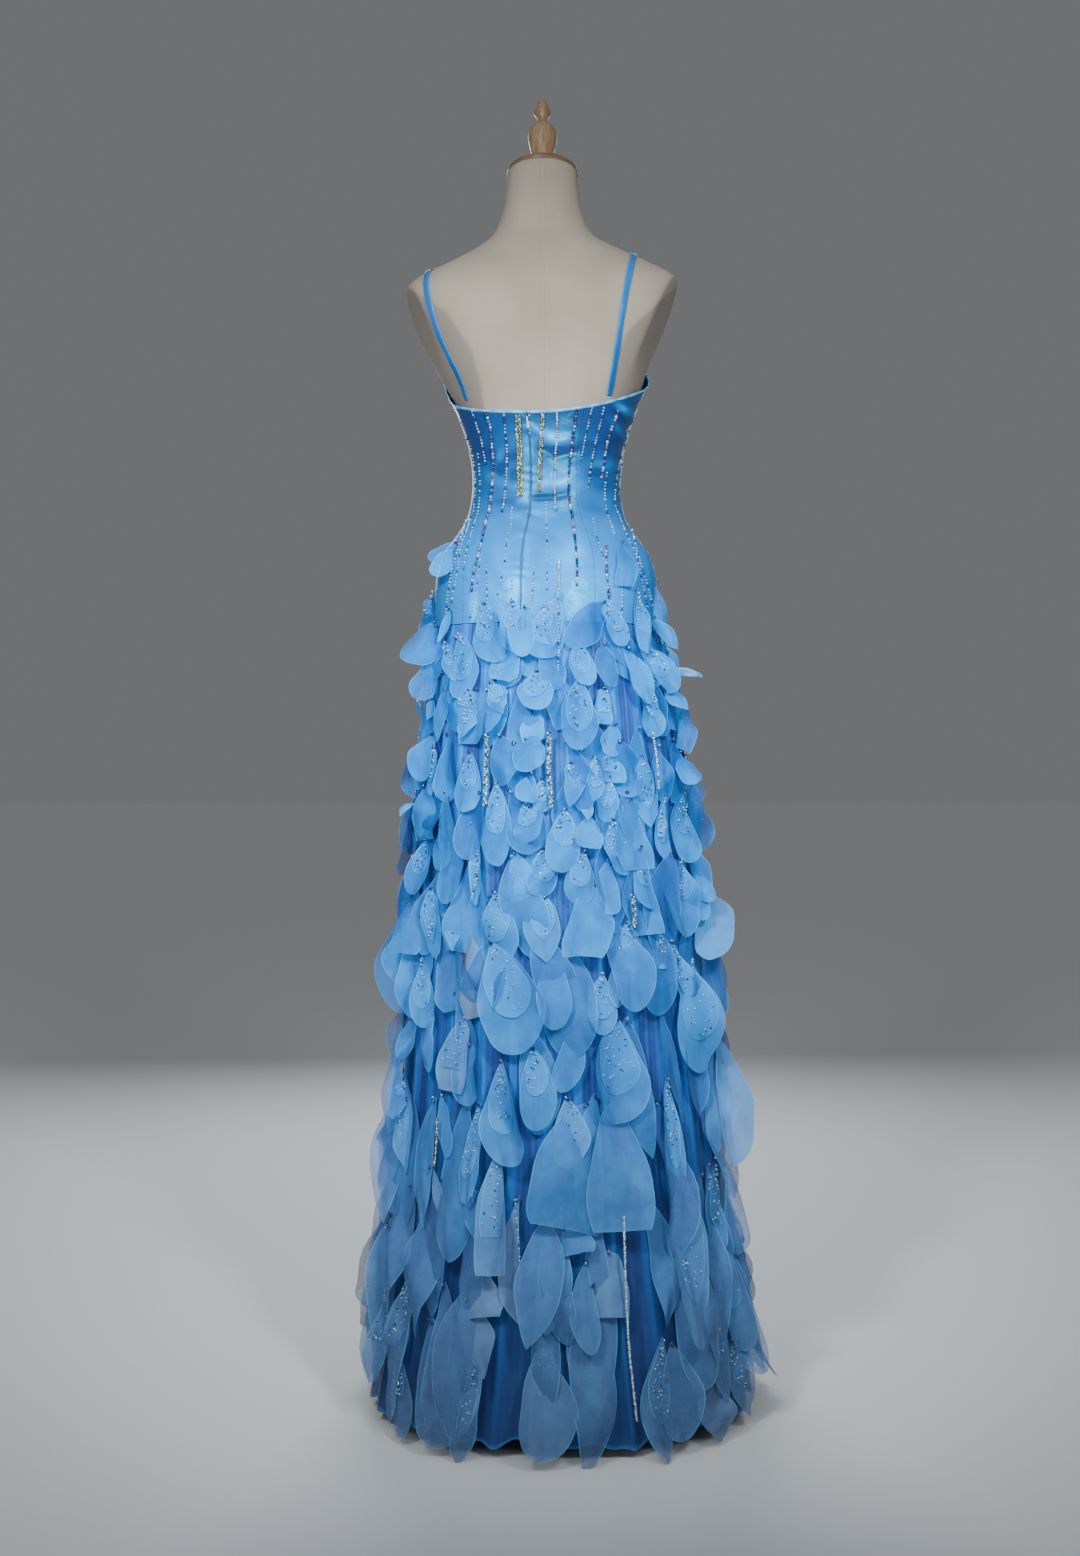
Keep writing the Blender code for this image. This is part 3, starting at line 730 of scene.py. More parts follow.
def satin_look(name, deep, pale):
    """Polyester satin: fine threads across, soft shade differences, painted light and shade, a long sheen."""
    look = Look(name, deep, 0.34, Sheen_Weight=0.03, Sheen_Roughness=0.35, Specular_IOR_Level=0.48)
    look.shader.inputs["Sheen Tint"].default_value = (0.15, 0.75, 1.0, 1)
    look.shader.inputs["Specular Tint"].default_value = (0.06, 0.78, 1.0, 1)
    cloudy = look.between(look.noise(9, 3, (1, 1, 0.5)), -0.12, 0.12, 0.35, 0.65)
    tone = look.sums("ADD", look.attribute("tone"), cloudy)
    # Painted glint: the palest tones turn to a paler cyan
    glint = look.between(tone, 0.0, 0.75, 0.85, 1.45)
    look.feeds("Base Color", look.mixed(glint, look.mixed(tone, deep, pale), SATIN_GLINT))
    look.feeds("Roughness", look.between(look.noise(40), 0.26, 0.38, 0.3, 0.7))
    threads = look.noise(900, 2, (1, 1, 3))
    soft = look.noise(55, 3, (1, 1, 1.6))
    broad = look.bump(look.noise(17, 2, (1, 1, 1.3)), 0.0060, 0.5)
    look.feeds("Normal", look.bump(threads, 0.0002, 0.35, look.bump(soft, 0.0012, 0.5, broad)))
    return look.material


def organza_look(name, deep, pale, rim, alpha, milky, greyed, hem, hem_shade_share):
    """Milky organza: a tone for each sheet, greyer lower down in painted shade, a fine weave and a pale
    sealed edge.
    """
    look = Look(name, deep, 0.46, Sheen_Weight=0.04, Sheen_Roughness=0.40, Specular_IOR_Level=0.25)
    look.shader.inputs["Sheen Tint"].default_value = (0.15, 0.80, 1.0, 1)
    look.shader.inputs["Specular Tint"].default_value = (0.05, 0.75, 1.0, 1)
    cloudy = look.between(look.noise(60, 4, (1, 1, 0.22)), -0.14, 0.14, 0.3, 0.7)
    tone = look.sums("ADD", look.attribute("tone"), cloudy)
    colour = look.mixed(tone, deep, pale)
    # Painted shade: greyer from one height down, and darker from a lower one, toward the floor
    colour = look.mixed(look.between(look.height(), 0.0, SHADE_GREY_SHARE, SHADE_GREY_FROM, 0.0), colour, greyed)
    colour = look.mixed(look.between(look.height(), 0.0, hem_shade_share, HEM_SHADE_FROM, 0.0), colour, hem)
    colour = look.mixed(look.attribute("ashen"), colour, ASHEN)
    edge = look.attribute("rim")
    look.feeds("Base Color", look.mixed(look.sums("MULTIPLY", edge, 0.72), colour, rim))
    veil = look.between(look.noise(60, 2), alpha - 0.06, alpha + 0.06, 0.3, 0.7)
    veil = look.sums("ADD", veil, look.sums("MULTIPLY", look.attribute("veil"), milky))
    look.feeds("Alpha", look.sums("MAXIMUM", veil, look.sums("MULTIPLY", edge, 0.92)))
    weave = look.sums("ADD", look.noise(1400, 1, (1, 1, 0.15)), look.noise(1400, 1, (0.15, 0.15, 1)))
    ripples = look.noise(70, 3, (1, 1, 0.45))
    broad = look.bump(look.noise(22, 2, (1, 1, 0.6)), 0.0060, 0.7)
    look.feeds("Normal", look.bump(weave, 0.0002, 0.3, look.bump(ripples, 0.0012, 0.8, broad)))
    return look.material


def linen_look():
    """The form's cotton cover: the fell seam at its centre back and front, and arm ends in painted shade."""
    look = Look("form_linen", (0.32, 0.30, 0.265), 0.86, Sheen_Weight=0.05, Specular_IOR_Level=0.25)
    blotches = look.between(look.noise(14, 5), 0.0, 1.0, 0.35, 0.65)
    cloth = look.mixed(blotches, (0.385, 0.322, 0.252), (0.332, 0.276, 0.214))
    # Painted shade on the arm ends
    cut = look.mixed(look.sums("MULTIPLY", look.attribute("arm_end"), 0.60), cloth, (0.165, 0.142, 0.120))
    across = look.node("SeparateXYZ", "X", (0, look.place))
    aside = look.sums("ABSOLUTE", look.sums("SUBTRACT", across, FELL_MIDDLE), 0)
    line = look.sums("ABSOLUTE", look.sums("SUBTRACT", aside, FELL_HALF), 0)
    groove = look.between(line, 1.0, 0.0, 0.0, FELL_GROOVE)
    look.feeds("Base Color", look.mixed(look.sums("MULTIPLY", groove, 0.22), cut, (0.18, 0.16, 0.135)))
    weave = look.sums("ADD", look.bands(420, "Z", 1.2), look.bands(420, "X", 1.2))
    felled = look.sums("SUBTRACT", look.sums("MULTIPLY", weave, 0.15), groove)
    look.feeds("Normal", look.bump(felled, 0.0005, 0.5))
    return look.material


def wood_look(name, light, dark, stretch):
    """Varnished beech with grain along the turning."""
    look = Look(name, light, 0.42, Coat_Weight=0.35, Coat_Roughness=0.22)
    grain = look.noise(60, 6, stretch)
    pores = look.noise(600, 2, stretch)
    share = look.sums("ADD", look.between(grain, 0.0, 0.9, 0.35, 0.65), look.between(pores, -0.1, 0.2))
    look.feeds("Base Color", look.mixed(share, light, dark))
    look.feeds("Roughness", look.between(grain, 0.34, 0.52))
    look.feeds("Normal", look.bump(pores, 0.0002, 0.35))
    return look.material


def bead_look(name, colour, roughness, metallic, coat=0.0):
    """Glass or metal beads, each a little lighter or darker than the next."""
    look = Look(name, colour, roughness, Metallic=metallic, Coat_Weight=coat, Coat_Roughness=0.05)
    dark = tuple(c * 0.55 for c in colour)
    look.feeds("Base Color", look.mixed(look.between(look.noise(320, 1), 0.0, 1.0, 0.3, 0.7), dark, colour))
    look.feeds("Roughness", look.between(look.noise(200, 1), roughness * 0.7, roughness * 1.4))
    return look.material


def metal_look(name, colour, roughness):
    """Powder-coated steel."""
    look = Look(name, colour, roughness, Metallic=0.6, Specular_IOR_Level=0.5)
    grit = look.noise(900, 2)
    look.feeds("Roughness", look.between(grit, roughness - 0.08, roughness + 0.10))
    look.feeds("Normal", look.bump(grit, 0.0002, 0.4))
    return look.material


LOOKS = {
    "satin": satin_look("satin", (0.012, 0.048, 0.185), (0.001, 0.300, 0.860)),
    # The binding is paler than the other satin as a painted highlight
    "binding": satin_look("binding_satin", (0.020, 0.150, 0.520), (0.180, 0.600, 0.960)),
    "piping": satin_look("piping_satin", (0.010, 0.085, 0.300), (0.080, 0.400, 0.920)),
    "underskirt": satin_look("underskirt_satin", (0.018, 0.040, 0.150), (0.002, 0.250, 0.840)),
    "organza": organza_look(
        "organza",
        deep=(0.026, 0.052, 0.240),
        pale=(0.003, 0.235, 0.790),
        rim=(0.08, 0.36, 0.90),
        alpha=0.90,
        milky=0.0,
        # Painted shade lower down
        greyed=(0.036, 0.062, 0.200),
        hem=(0.024, 0.038, 0.115),
        hem_shade_share=0.80,
    ),
    "petal": organza_look(
        "petal_organza",
        deep=(0.005, 0.112, 0.470),
        pale=(0.001, 0.318, 0.880),
        rim=(0.12, 0.56, 0.95),
        alpha=0.66,
        milky=0.13,
        # Painted shade lower down
        greyed=(0.150, 0.225, 0.420),
        hem=(0.085, 0.125, 0.205),
        hem_shade_share=0.72,
    ),
    "linen": linen_look(),
    "cap": wood_look("cap_wood", (0.240, 0.128, 0.070), (0.130, 0.066, 0.036), (1, 1, 6)),
    "finial": wood_look("finial_wood", (0.450, 0.285, 0.150), (0.260, 0.150, 0.076), (5, 5, 0.7)),
    "metal": metal_look("stand_metal", (0.030, 0.030, 0.034), 0.42),
    "tape": satin_look("zip_tape_cloth", (0.012, 0.120, 0.450), (0.012, 0.180, 0.620)),
    "coil": bead_look("zip_coil_nylon", (0.100, 0.330, 0.700), 0.35, 0.0),
    "pull": bead_look("zip_pull_enamel", (0.55, 0.75, 0.92), 0.25, 0.2, 0.5),
    "silver": bead_look("bead_silver", (0.60, 0.84, 1.0), 0.18, 0.45, 0.5),
    "crystal": bead_look("bead_crystal", (0.48, 0.82, 1.0), 0.08, 0.15, 1.0),
    "gold": bead_look("bead_gold", (0.60, 0.55, 0.25), 0.24, 1.0),
    "pink": bead_look("bead_pink", (0.52, 0.42, 0.62), 0.22, 0.4, 0.6),
    "red": bead_look("bead_red", (0.20, 0.022, 0.110), 0.16, 0.1, 1.0),
    "violet": bead_look("bead_violet", (0.17, 0.10, 0.50), 0.16, 0.2, 1.0),
    "blue": bead_look("bead_blue", (0.010, 0.030, 0.130), 0.14, 0.1, 1.0),
    "sky": bead_look("bead_sky", (0.16, 0.50, 0.86), 0.16, 0.3, 1.0),
    "green": bead_look("bead_green", (0.12, 0.34, 0.30), 0.18, 0.5, 0.8),
}


# The dress form


def tilted(points):
    """Neck points lifted so that the neck ends on the cap's slope, higher at the back."""
    share = np.clip((points[..., 2] - NECK_BEND) / (NECK_TOP - NECK_BEND), 0, 1)
    lift = (points[..., 1] - NECK_MIDDLE.y) * math.tan(CAP_TILT) * share
    return points + np.stack([0 * lift, 0 * lift, lift], axis=-1)


def neck_middle():
    _, _, front, back, _ = read(FORM, NECK_TOP)
    return Vector((0, (back - front) / 2, NECK_TOP))


NECK_MIDDLE = neck_middle()


def arm_plane(side, middle):
    """A point of an arm end's plane and the way it faces."""
    turn = Matrix.Rotation(side * ARM_CUT_BACK, 4, "Z") @ Matrix.Rotation(side * ARM_CUT_DOWN, 4, "Y")
    return np.array((side * middle, 0, ARM_CUT_HEIGHT)), np.array(turn @ Vector((side, 0, 0)))


def build_form():
    """The cloth-covered torso, with flat arm ends whose edges are a little rounded, in painted shade."""
    angles = np.linspace(0, math.tau, FORM_COLUMNS, endpoint=False)
    heights = np.linspace(FORM_BOTTOM, NECK_TOP, FORM_ROWS)
    points = tilted(form_point(angles[:, None], heights[None, :]))
    arm = np.zeros(points.shape[:2])
    for side, middle in ARM_CUTS:
        on_plane, outward = arm_plane(side, middle)
        beyond = (points - on_plane) @ outward
        kept = (beyond - np.sqrt(beyond**2 + ARM_CUT_EDGE**2)) / 2
        above = np.clip((points[..., 2] - ARM_CUT_FROM) / ARM_CUT_FADE, 0, 1)
        points = points + outward * ((kept - beyond) * above)[..., None]
        # The flat arm ends are marked for their painted shade
        arm = np.maximum(arm, np.clip(beyond / ARM_CUT_EDGE, 0, 1))
    # At the back, painted shade beside the arm ends, outside the pixels where they begin
    u, v = on_photo(points)
    seen = read_straight(ARM_END_SHADE_EDGES, v)
    aside = np.maximum(seen[..., 0] - u, u - seen[..., 1])
    at_back = (points[..., 1] > 0) & (v < ARM_END_SHADE_EDGES[-1, 0])
    arm = np.where(at_back, np.clip(aside / ARM_END_SHADE_SOFT + 0.5, 0, 1), arm)
    faces = grid_faces(FORM_COLUMNS, FORM_ROWS, closed=True)
    faces.append([k * FORM_ROWS for k in reversed(range(FORM_COLUMNS))])
    faces.append([k * FORM_ROWS + FORM_ROWS - 1 for k in range(FORM_COLUMNS)])
    piece = add_mesh("form_cover", points, faces, LOOKS["linen"], {"arm_end": arm})
    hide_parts("form_torso")
    return piece


def build_turned_top():
    """The wooden cap on the neck and the finial on it, square to the neck's slope."""
    lean = Matrix.Rotation(CAP_TILT, 4, "X")
    up = lean @ Vector((0, 0, 1))
    turns = [math.radians(a) for a in (90, 60, 30, 0)]
    low = [(CAP_EDGE * (1 - math.sin(a)), CAP_RADIUS - CAP_EDGE * (1 - math.cos(a))) for a in turns]
    high = [(CAP_THICKNESS - h, r) for h, r in reversed(low)]
    at_cap = Matrix.Translation(NECK_MIDDLE + up * SEAM_GAP) @ lean
    cap = turned("neck_cap_wood", low + high, TURNED_SIDES, LOOKS["cap"], at_cap)
    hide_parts("form_neck_cap")
    heights = np.linspace(0, FINIAL[-1][0], FINIAL_ROWS)
    profile = [(h, max(float(read(FINIAL, h)[0]), FINIAL_LEAST)) for h in heights]
    at_finial = Matrix.Translation(NECK_MIDDLE + up * (CAP_THICKNESS + 2 * SEAM_GAP)) @ lean
    finial = turned("finial_wood", profile, TURNED_SIDES, LOOKS["finial"], at_finial)
    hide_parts("form_finial")


def finish_stand():
    """The stand keeps its frame nodes, with their finish."""
    for name in ("form_base", "form_pole"):
        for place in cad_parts[name].material_slots:
            place.material = LOOKS["metal"]


# The bodice


def seen_flat(points):
    """The pixels at which points show when they are laid at the back's depth."""
    return on_photo(points * np.array((1, 0, 1)) + np.array((0, BACK_DEPTH, 0)))


def crease_rise(points):
    """How far the satin stands in or out at its creases, read where the points show in the photograph."""
    u, v = seen_flat(points)
    metre = FOCAL_PIXELS / (CAMERA_PLACE.y - BACK_DEPTH)
    rise = np.zeros(u.shape)
    for u0, v0, u1, v1, spread, height in CREASES:
        run, fall = u1 - u0, v1 - v0
        along = np.clip(((u - u0) * run + (v - v0) * fall) / (run**2 + fall**2), 0, 1)
        off = np.hypot(u - u0 - along * run, v - v0 - along * fall) / metre
        rise += height * np.exp(-((off / spread) ** 2)) * np.sin(np.pi * (0.12 + 0.76 * along))
    return rise


def painted_satin_light(points):
    """Painted light and shade of the satin, which turns from deep to pale as the cloth turns to the light."""
    u, v = seen_flat(points)
    hips = np.clip((v - HIP_LIGHT_FROM) / HIP_LIGHT_DEEP, 0, 1)
    tone = PAINTED_TONE_TOP + PAINTED_HIP_LIGHT * hips * hips * (3 - 2 * hips)
    for u0, v0, wide, tall, more in SHEENS:
        tone = tone + more * np.exp(-(((u - u0) / wide) ** 2) - ((v - v0) / tall) ** 2)
    return tone + crease_rise(points) * PAINTED_CREASE_SHADE


def panel_columns(first, last):
    """Angles of a panel's columns, closer together at its seams."""
    at = form_point(math.radians((first + last) / 2), 1.2)
    wide = math.radians(last - first) * math.hypot(*at[:2])
    middle = np.arange(PANEL_EVEN_FROM, wide - PANEL_EVEN_TO, PANEL_STEP)
    spots = np.array([*PANEL_CLOSE, *middle, *(wide - c for c in reversed(PANEL_CLOSE))])
    return math.radians(first) + spots / wide * math.radians(last - first), spots, wide


def pucker(heights, edge, left, at_zip):
    """The ripples that stitches draw into the satin beside a seam, stronger at the zip, fainter high up."""
    slant = np.where(left, *PUCKER_SLANTS)[:, None] * edge
    waves_down = np.sin(heights * 430 + 2.6 * np.sin(heights * 61) + slant)
    low = np.clip((1.30 - heights) / 0.05, 0.25, 1)
    swell = np.clip(0.30 + 0.55 * np.sin(heights * 97 + slant * 0.3) + 0.3 * np.sin(heights * 211), 0, 1)
    size = np.where(at_zip, PUCKER, PUCKER * 0.3)
    return size * swell * waves_down * np.exp(-edge / PUCKER_REACH) * low


def build_bodice():
    """Satin panels over the form, sewn along their sides, with the creases of a tight fit."""
    made = {}
    for name, first, last in PANELS:
        angles, spots, wide = panel_columns(first, last)
        tops = neckline(angles) - BINDING_HEIGHT * BINDING_LAP
        shares = np.linspace(0, 1, PANEL_ROWS)
        heights = BODICE_HEM + (tops[:, None] - BODICE_HEM) * shares[None, :]
        gap = np.zeros(len(angles))
        gap[0] = (ZIP_GAP * ZIP_CLOSED if first == ZIP_SEAM else SEAM_GAP) / 2
        gap[-1] = -(ZIP_GAP * ZIP_CLOSED if last == ZIP_SEAM else SEAM_GAP) / 2
        around = angles[:, None] + gap[:, None] / BODICE_RADIUS + 0 * heights
        edge = np.minimum(spots, wide - spots)[:, None]
        left = spots < wide / 2
        at_zip = np.where(left, first == ZIP_SEAM, last == ZIP_SEAM)[:, None]
        turn = np.where(at_zip, ZIP_TURN, SEAM_TURN) * np.exp(-((edge / SEAM_SOFT) ** 2))
        base = form_point(around, heights, 0.0, CUP_RISE)
        fine = pucker(heights, edge, left, at_zip)
        out = ease(heights) + SATIN - turn + fine + np.maximum(crease_rise(base), CREASE_DEEPEST)
        points = form_point(around, heights, np.maximum(out, BODICE_LEAST), CUP_RISE)
        faces = grid_faces(len(angles), len(shares))
        # Painted shade along the zip's seam
        zip_seam_shade = ZIP_SEAM_SHADE * at_zip * np.exp(-((edge / ZIP_SEAM_SHADE_REACH) ** 2))
        # The satin's painted light and shade, and the puckers' painted light and shade
        values = {"tone": painted_satin_light(points) + fine * PAINTED_PUCKER_SHADE - zip_seam_shade}
        piece = add_mesh(f"{name}_satin", points, faces, LOOKS["satin"], values)
        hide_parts(name)
        made[name] = (piece, points)
    return made


def build_binding():
    """A narrow rolled binding on the top edge, open at the zip."""
    around = np.linspace(math.radians(ZIP_SEAM), math.radians(ZIP_SEAM) + math.tau, BINDING_STEPS)
    around[0] += ZIP_GAP / BODICE_RADIUS
    around[-1] -= ZIP_GAP / BODICE_RADIUS
    top = neckline(around)
    turns = np.linspace(0, math.tau, BINDING_SIDES, endpoint=False)
    uneven = 1 + 0.10 * np.sin(around * 23) + 0.06 * np.sin(around * 57)
    heights = top[:, None] - BINDING_HEIGHT / 2 + BINDING_HEIGHT / 2 * np.sin(turns)[None, :]
    thick = BINDING_THICKNESS / 2 * uneven[:, None]
    outs = ease(top)[:, None] + SATIN / 2 + 0.0003 + thick * np.cos(turns)[None, :]
    points = form_point(around[:, None] + 0 * heights, heights, outs, CUP_RISE)
    tone = 0.75 + 0.25 * np.sin(around * 31)[:, None] + 0 * heights
    faces = tube_faces(BINDING_STEPS, BINDING_SIDES)
    piece = add_mesh("neckline_binding_satin", points, faces, LOOKS["binding"], {"tone": tone})
    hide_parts("neckline_binding")
    return piece


def build_straps(form):
    """Rouleau straps laid over the shoulders."""
    tree = BVHTree.FromPolygons([v.co for v in form.data.vertices], [p.vertices for p in form.data.polygons])
    made = []
    for name, guides in STRAPS.items():
        table = [(k, *guide) for k, guide in enumerate(guides)]
        route = read(table, np.linspace(0, len(guides) - 1, STRAP_STEPS + 1))
        route = [tree.find_nearest(Vector(p))[0] for p in route]
        points, tones = [], []
        last = len(route) - 1
        for k, here in enumerate(route):
            along = (route[min(k + 2, last)] - route[max(k - 2, 0)]).normalized()
            beside = [route[min(max(k + d, 0), last)] for d in (-2, 0, 2)]
            normal = sum((tree.find_nearest(place)[1] for place in beside), Vector()).normalized()
            across = normal.cross(along).normalized()
            half = STRAP_HALF * (1 + 0.05 * math.sin(k * 0.35) + 0.04 * math.sin(k * 0.13))
            for side in range(STRAP_SIDES):
                turn = math.tau * side / STRAP_SIDES
                flat, rise = math.cos(turn), math.sin(turn)
                edge = here + across * (half * flat)
                on_form, lift, _, _ = tree.find_nearest(edge)
                points.append(on_form + lift * (STRAP_CLEAR + STRAP_THICK * (1 + rise)))
                tones.append(0.12 + 0.62 * abs(flat) ** 6)
        faces = tube_faces(last + 1, STRAP_SIDES)
        faces.append(list(range(STRAP_SIDES)))
        faces.append(list(reversed(range(last * STRAP_SIDES, (last + 1) * STRAP_SIDES))))
        piece = add_mesh(f"{name}_satin", points, faces, LOOKS["piping"], {"tone": tones})
        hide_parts(name)
        made.append(piece)
    return made


# The zip: how far it ends short of the bodice's edges, its coil and the outline of its pull
ZIP_END = 0.004
COIL_TURNS = 210
COIL_STEPS = 8
COIL_SIDES = 4
COIL_WIRE = 0.0003
COIL_WIDE = 0.0011
COIL_DEEP = 0.0004
ZIP_PULL = (
    # distance down, half width
    (0.0, 0.0008),
    (0.002, 0.0012),
    (0.006, 0.0010),
    (0.012, 0.0021),
    (0.015, 0.0019),
    (0.0165, 0.0006),
)
PULL_SIDES = 10
PULL_OUT = 0.0012
PULL_HALF_THICK = 0.0006


def build_zip():
    """The concealed zip's coil behind the seam, and its pull at the top."""
    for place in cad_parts["zip_tape"].material_slots:
        place.material = LOOKS["tape"]
    centre = math.radians(ZIP_SEAM)
    top = float(neckline(centre)) - BINDING_HEIGHT - ZIP_END
    steps = COIL_TURNS * COIL_STEPS
    heights = np.linspace(BODICE_HEM + ZIP_END, top, steps)
    swing = np.arange(steps) * math.tau / COIL_STEPS
    middle = form_point(centre, heights, ease(heights) + COIL_DEEP)
    spiral = middle + np.stack([COIL_WIDE * np.cos(swing), COIL_DEEP * np.sin(swing), 0 * swing], axis=-1)
    ring = [math.tau * k / COIL_SIDES for k in range(COIL_SIDES)]
    around = [np.array((0, math.cos(a) * COIL_WIRE, math.sin(a) * COIL_WIRE)) for a in ring]
    points = np.stack([spiral + off for off in around], axis=1)
    coil = add_mesh("zip_coil", points, tube_faces(steps, COIL_SIDES), LOOKS["coil"])
    points = []
    for fall, half in ZIP_PULL:
        for k in range(PULL_SIDES):
            a = math.tau * k / PULL_SIDES
            height = top - fall
            out = float(ease(height)) + SATIN + PULL_OUT + PULL_HALF_THICK * math.sin(a)
            points.append(form_point(centre, height, out) + np.array((half * math.cos(a), 0, 0)))
    faces = tube_faces(len(ZIP_PULL), PULL_SIDES)
    faces.append(list(reversed(range(PULL_SIDES))))
    faces.append(list(range(len(points) - PULL_SIDES, len(points))))
    pull = add_mesh("zip_pull", points, faces, LOOKS["pull"])
    return [coil, pull]


# The skirts


def fold_depth(angle, height):
    """How deep the overskirt's folds are at points, as a share of the deepest, 0 at a crest."""
    even = angle - FOLD_SWAY * waves(FOLD_SWAYS, angle) * np.sin(angle) ** 2
    share = np.mod(even / math.tau * FOLDS, 1)
    broad = np.clip(np.minimum(share, 1 - share) / 0.34, 0, 1)
    broad = broad * broad * (3 - 2 * broad)
    deep = FOLD_DEPTH + waves(FOLD_DEPTHS, angle)
    drift = 0.5 * np.sin(height * 5 + angle * 3)
    fine = 0.5 + 0.3 * np.sin(angle * 97 + drift) + 0.2 * np.sin(angle * 143 - height * 3 + 1)
    return np.clip(broad * deep * 0.86 + 0.14 * fine, 0, 1)


def skirt_grid(side, columns, rows, split=0.0):
    """Angles and heights of a half skirt's grid, the crest ring's values there, and the grid's faces."""
    start = 0 if side == "back" else math.pi
    angles = np.linspace(start, start + math.pi, columns)
    angles[0] += split
    angles[-1] -= split
    a, h = np.meshgrid(angles, rows, indexing="ij")
    return a, h, read_straight(SKIRT_RINGS, h), grid_faces(columns, len(rows))


def build_overskirt(side):
    """Half of the organza overskirt, gathered into folds that run to the hem."""
    rows = np.concatenate([HEM_EDGES, np.linspace(HEM + 0.006, DROP_WAIST, SKIRT_ROWS)])
    a, h, values, faces = skirt_grid(side, SKIRT_COLUMNS + 1, rows, SKIRT_SPLIT)
    wander = 1 + 0.6 * np.sin(a * 9 + 1) + 0.4 * np.sin(a * 23) + 0.3 * np.sin(a * 41 + 2)
    lift = HEM_SWAY * np.clip(1 - (h - HEM) / HEM_SWAY_REACH, 0, 1) ** 2 * wander
    depth = fold_depth(a, h)
    points = ring_point(grown(values[..., :5], ORGANZA / 2 - values[..., 5] * depth), a, h + lift)
    rim = np.zeros(a.shape)
    rim[:, :2] = HEM_RIM
    lines = np.sin(a * 173 + 2 * np.sin(h * 3))
    paler = np.clip((h - 0.90) / 0.15, 0, 1)
    # Painted shade, darker the deeper in a fold, with fine streaks, and paler toward the waist
    tone = 0.72 - 0.82 * depth + 0.14 * lines + 0.12 * paler
    piece = add_mesh(f"overskirt_{side}_organza", points, faces, LOOKS["organza"], {"rim": rim, "tone": tone})
    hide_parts(f"overskirt_{side}")
    return piece, points


def build_underskirt(side):
    """Half of the satin underskirt, close inside the overskirt."""
    rows = np.linspace(UNDERSKIRT_HEM, DROP_WAIST, UNDERSKIRT_ROWS)
    a, h, values, faces = skirt_grid(side, UNDERSKIRT_COLUMNS, rows)
    ripple = UNDERSKIRT_RIPPLE * np.clip((DROP_WAIST - h) / 0.3, 0, 1) * (np.sin(a * 37 + np.sin(h * 6)) - 1)
    points = ring_point(grown(values[..., :5], ripple - values[..., 5] - UNDERSKIRT_GAP), a, h)
    tone = np.clip((h - 0.88) / 0.16, 0.15, 0.85)
    piece = add_mesh(f"underskirt_{side}_satin", points, faces, LOOKS["underskirt"], {"tone": tone})
    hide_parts(f"underskirt_{side}")
    return piece, points


# Beads


def bead_template():
    ball = bmesh.new()
    bmesh.ops.create_icosphere(ball, subdivisions=1, radius=1.0)
    points = np.array([v.co for v in ball.verts])
    faces = [tuple(v.index for v in f.verts) for f in ball.faces]
    ball.free()
    return points, np.array(faces)


class Beads:
    """Beads of every colour, gathered into one mesh for each colour."""

    def __init__(self, label):
        self.label, self.placed = label, {}

    def add(self, colour, place, radius, stretch=1.0):
        self.placed.setdefault(colour, []).append((*place, radius, radius * stretch))

    def build(self):
        ball, faces = bead_template()
        made = []
        for colour, rows in sorted(self.placed.items()):
            rows = np.array(rows)
            sizes = np.stack([rows[:, 3], rows[:, 3], rows[:, 4]], axis=-1)
            points = rows[:, None, :3] + ball[None] * sizes[:, None, :]
            every = faces[None] + (np.arange(len(rows)) * len(ball))[:, None, None]
            every = every.reshape(-1, 3).tolist()
            made.append(add_mesh(f"beads_{self.label}_{colour}", points, every, LOOKS[colour]))
        return made


BEAD_MIXES = {
    # radius, spacing, colours in turn
    "silver": (0.0014, 0.0040, ("silver", "crystal", "silver", "blue", "sky")),
    "seeds": (0.0013, 0.0046, ("crystal", "silver", "blue", "crystal", "sky")),
    "pearly": (0.0017, 0.0044, ("crystal", "silver", "blue", "crystal", "pink", "silver", "gold")),
    "gold": (0.0018, 0.0025, ("gold", "gold", "silver", "gold", "green")),
    "ivory": (0.0019, 0.0036, ("silver", "gold", "crystal", "silver", "pink")),
    "jewels": (0.0021, 0.0044, ("violet", "blue", "crystal", "sky", "red", "pink", "crystal", "blue")),
    "dark": (0.0022, 0.0044, ("blue", "blue", "violet", "blue", "red", "crystal", "sky", "blue")),
    "hem": (0.0019, 0.0030, ("silver", "pink", "crystal", "silver")),
    "twist": (0.0017, 0.0026, ("silver", "blue", "green", "silver", "gold")),
}
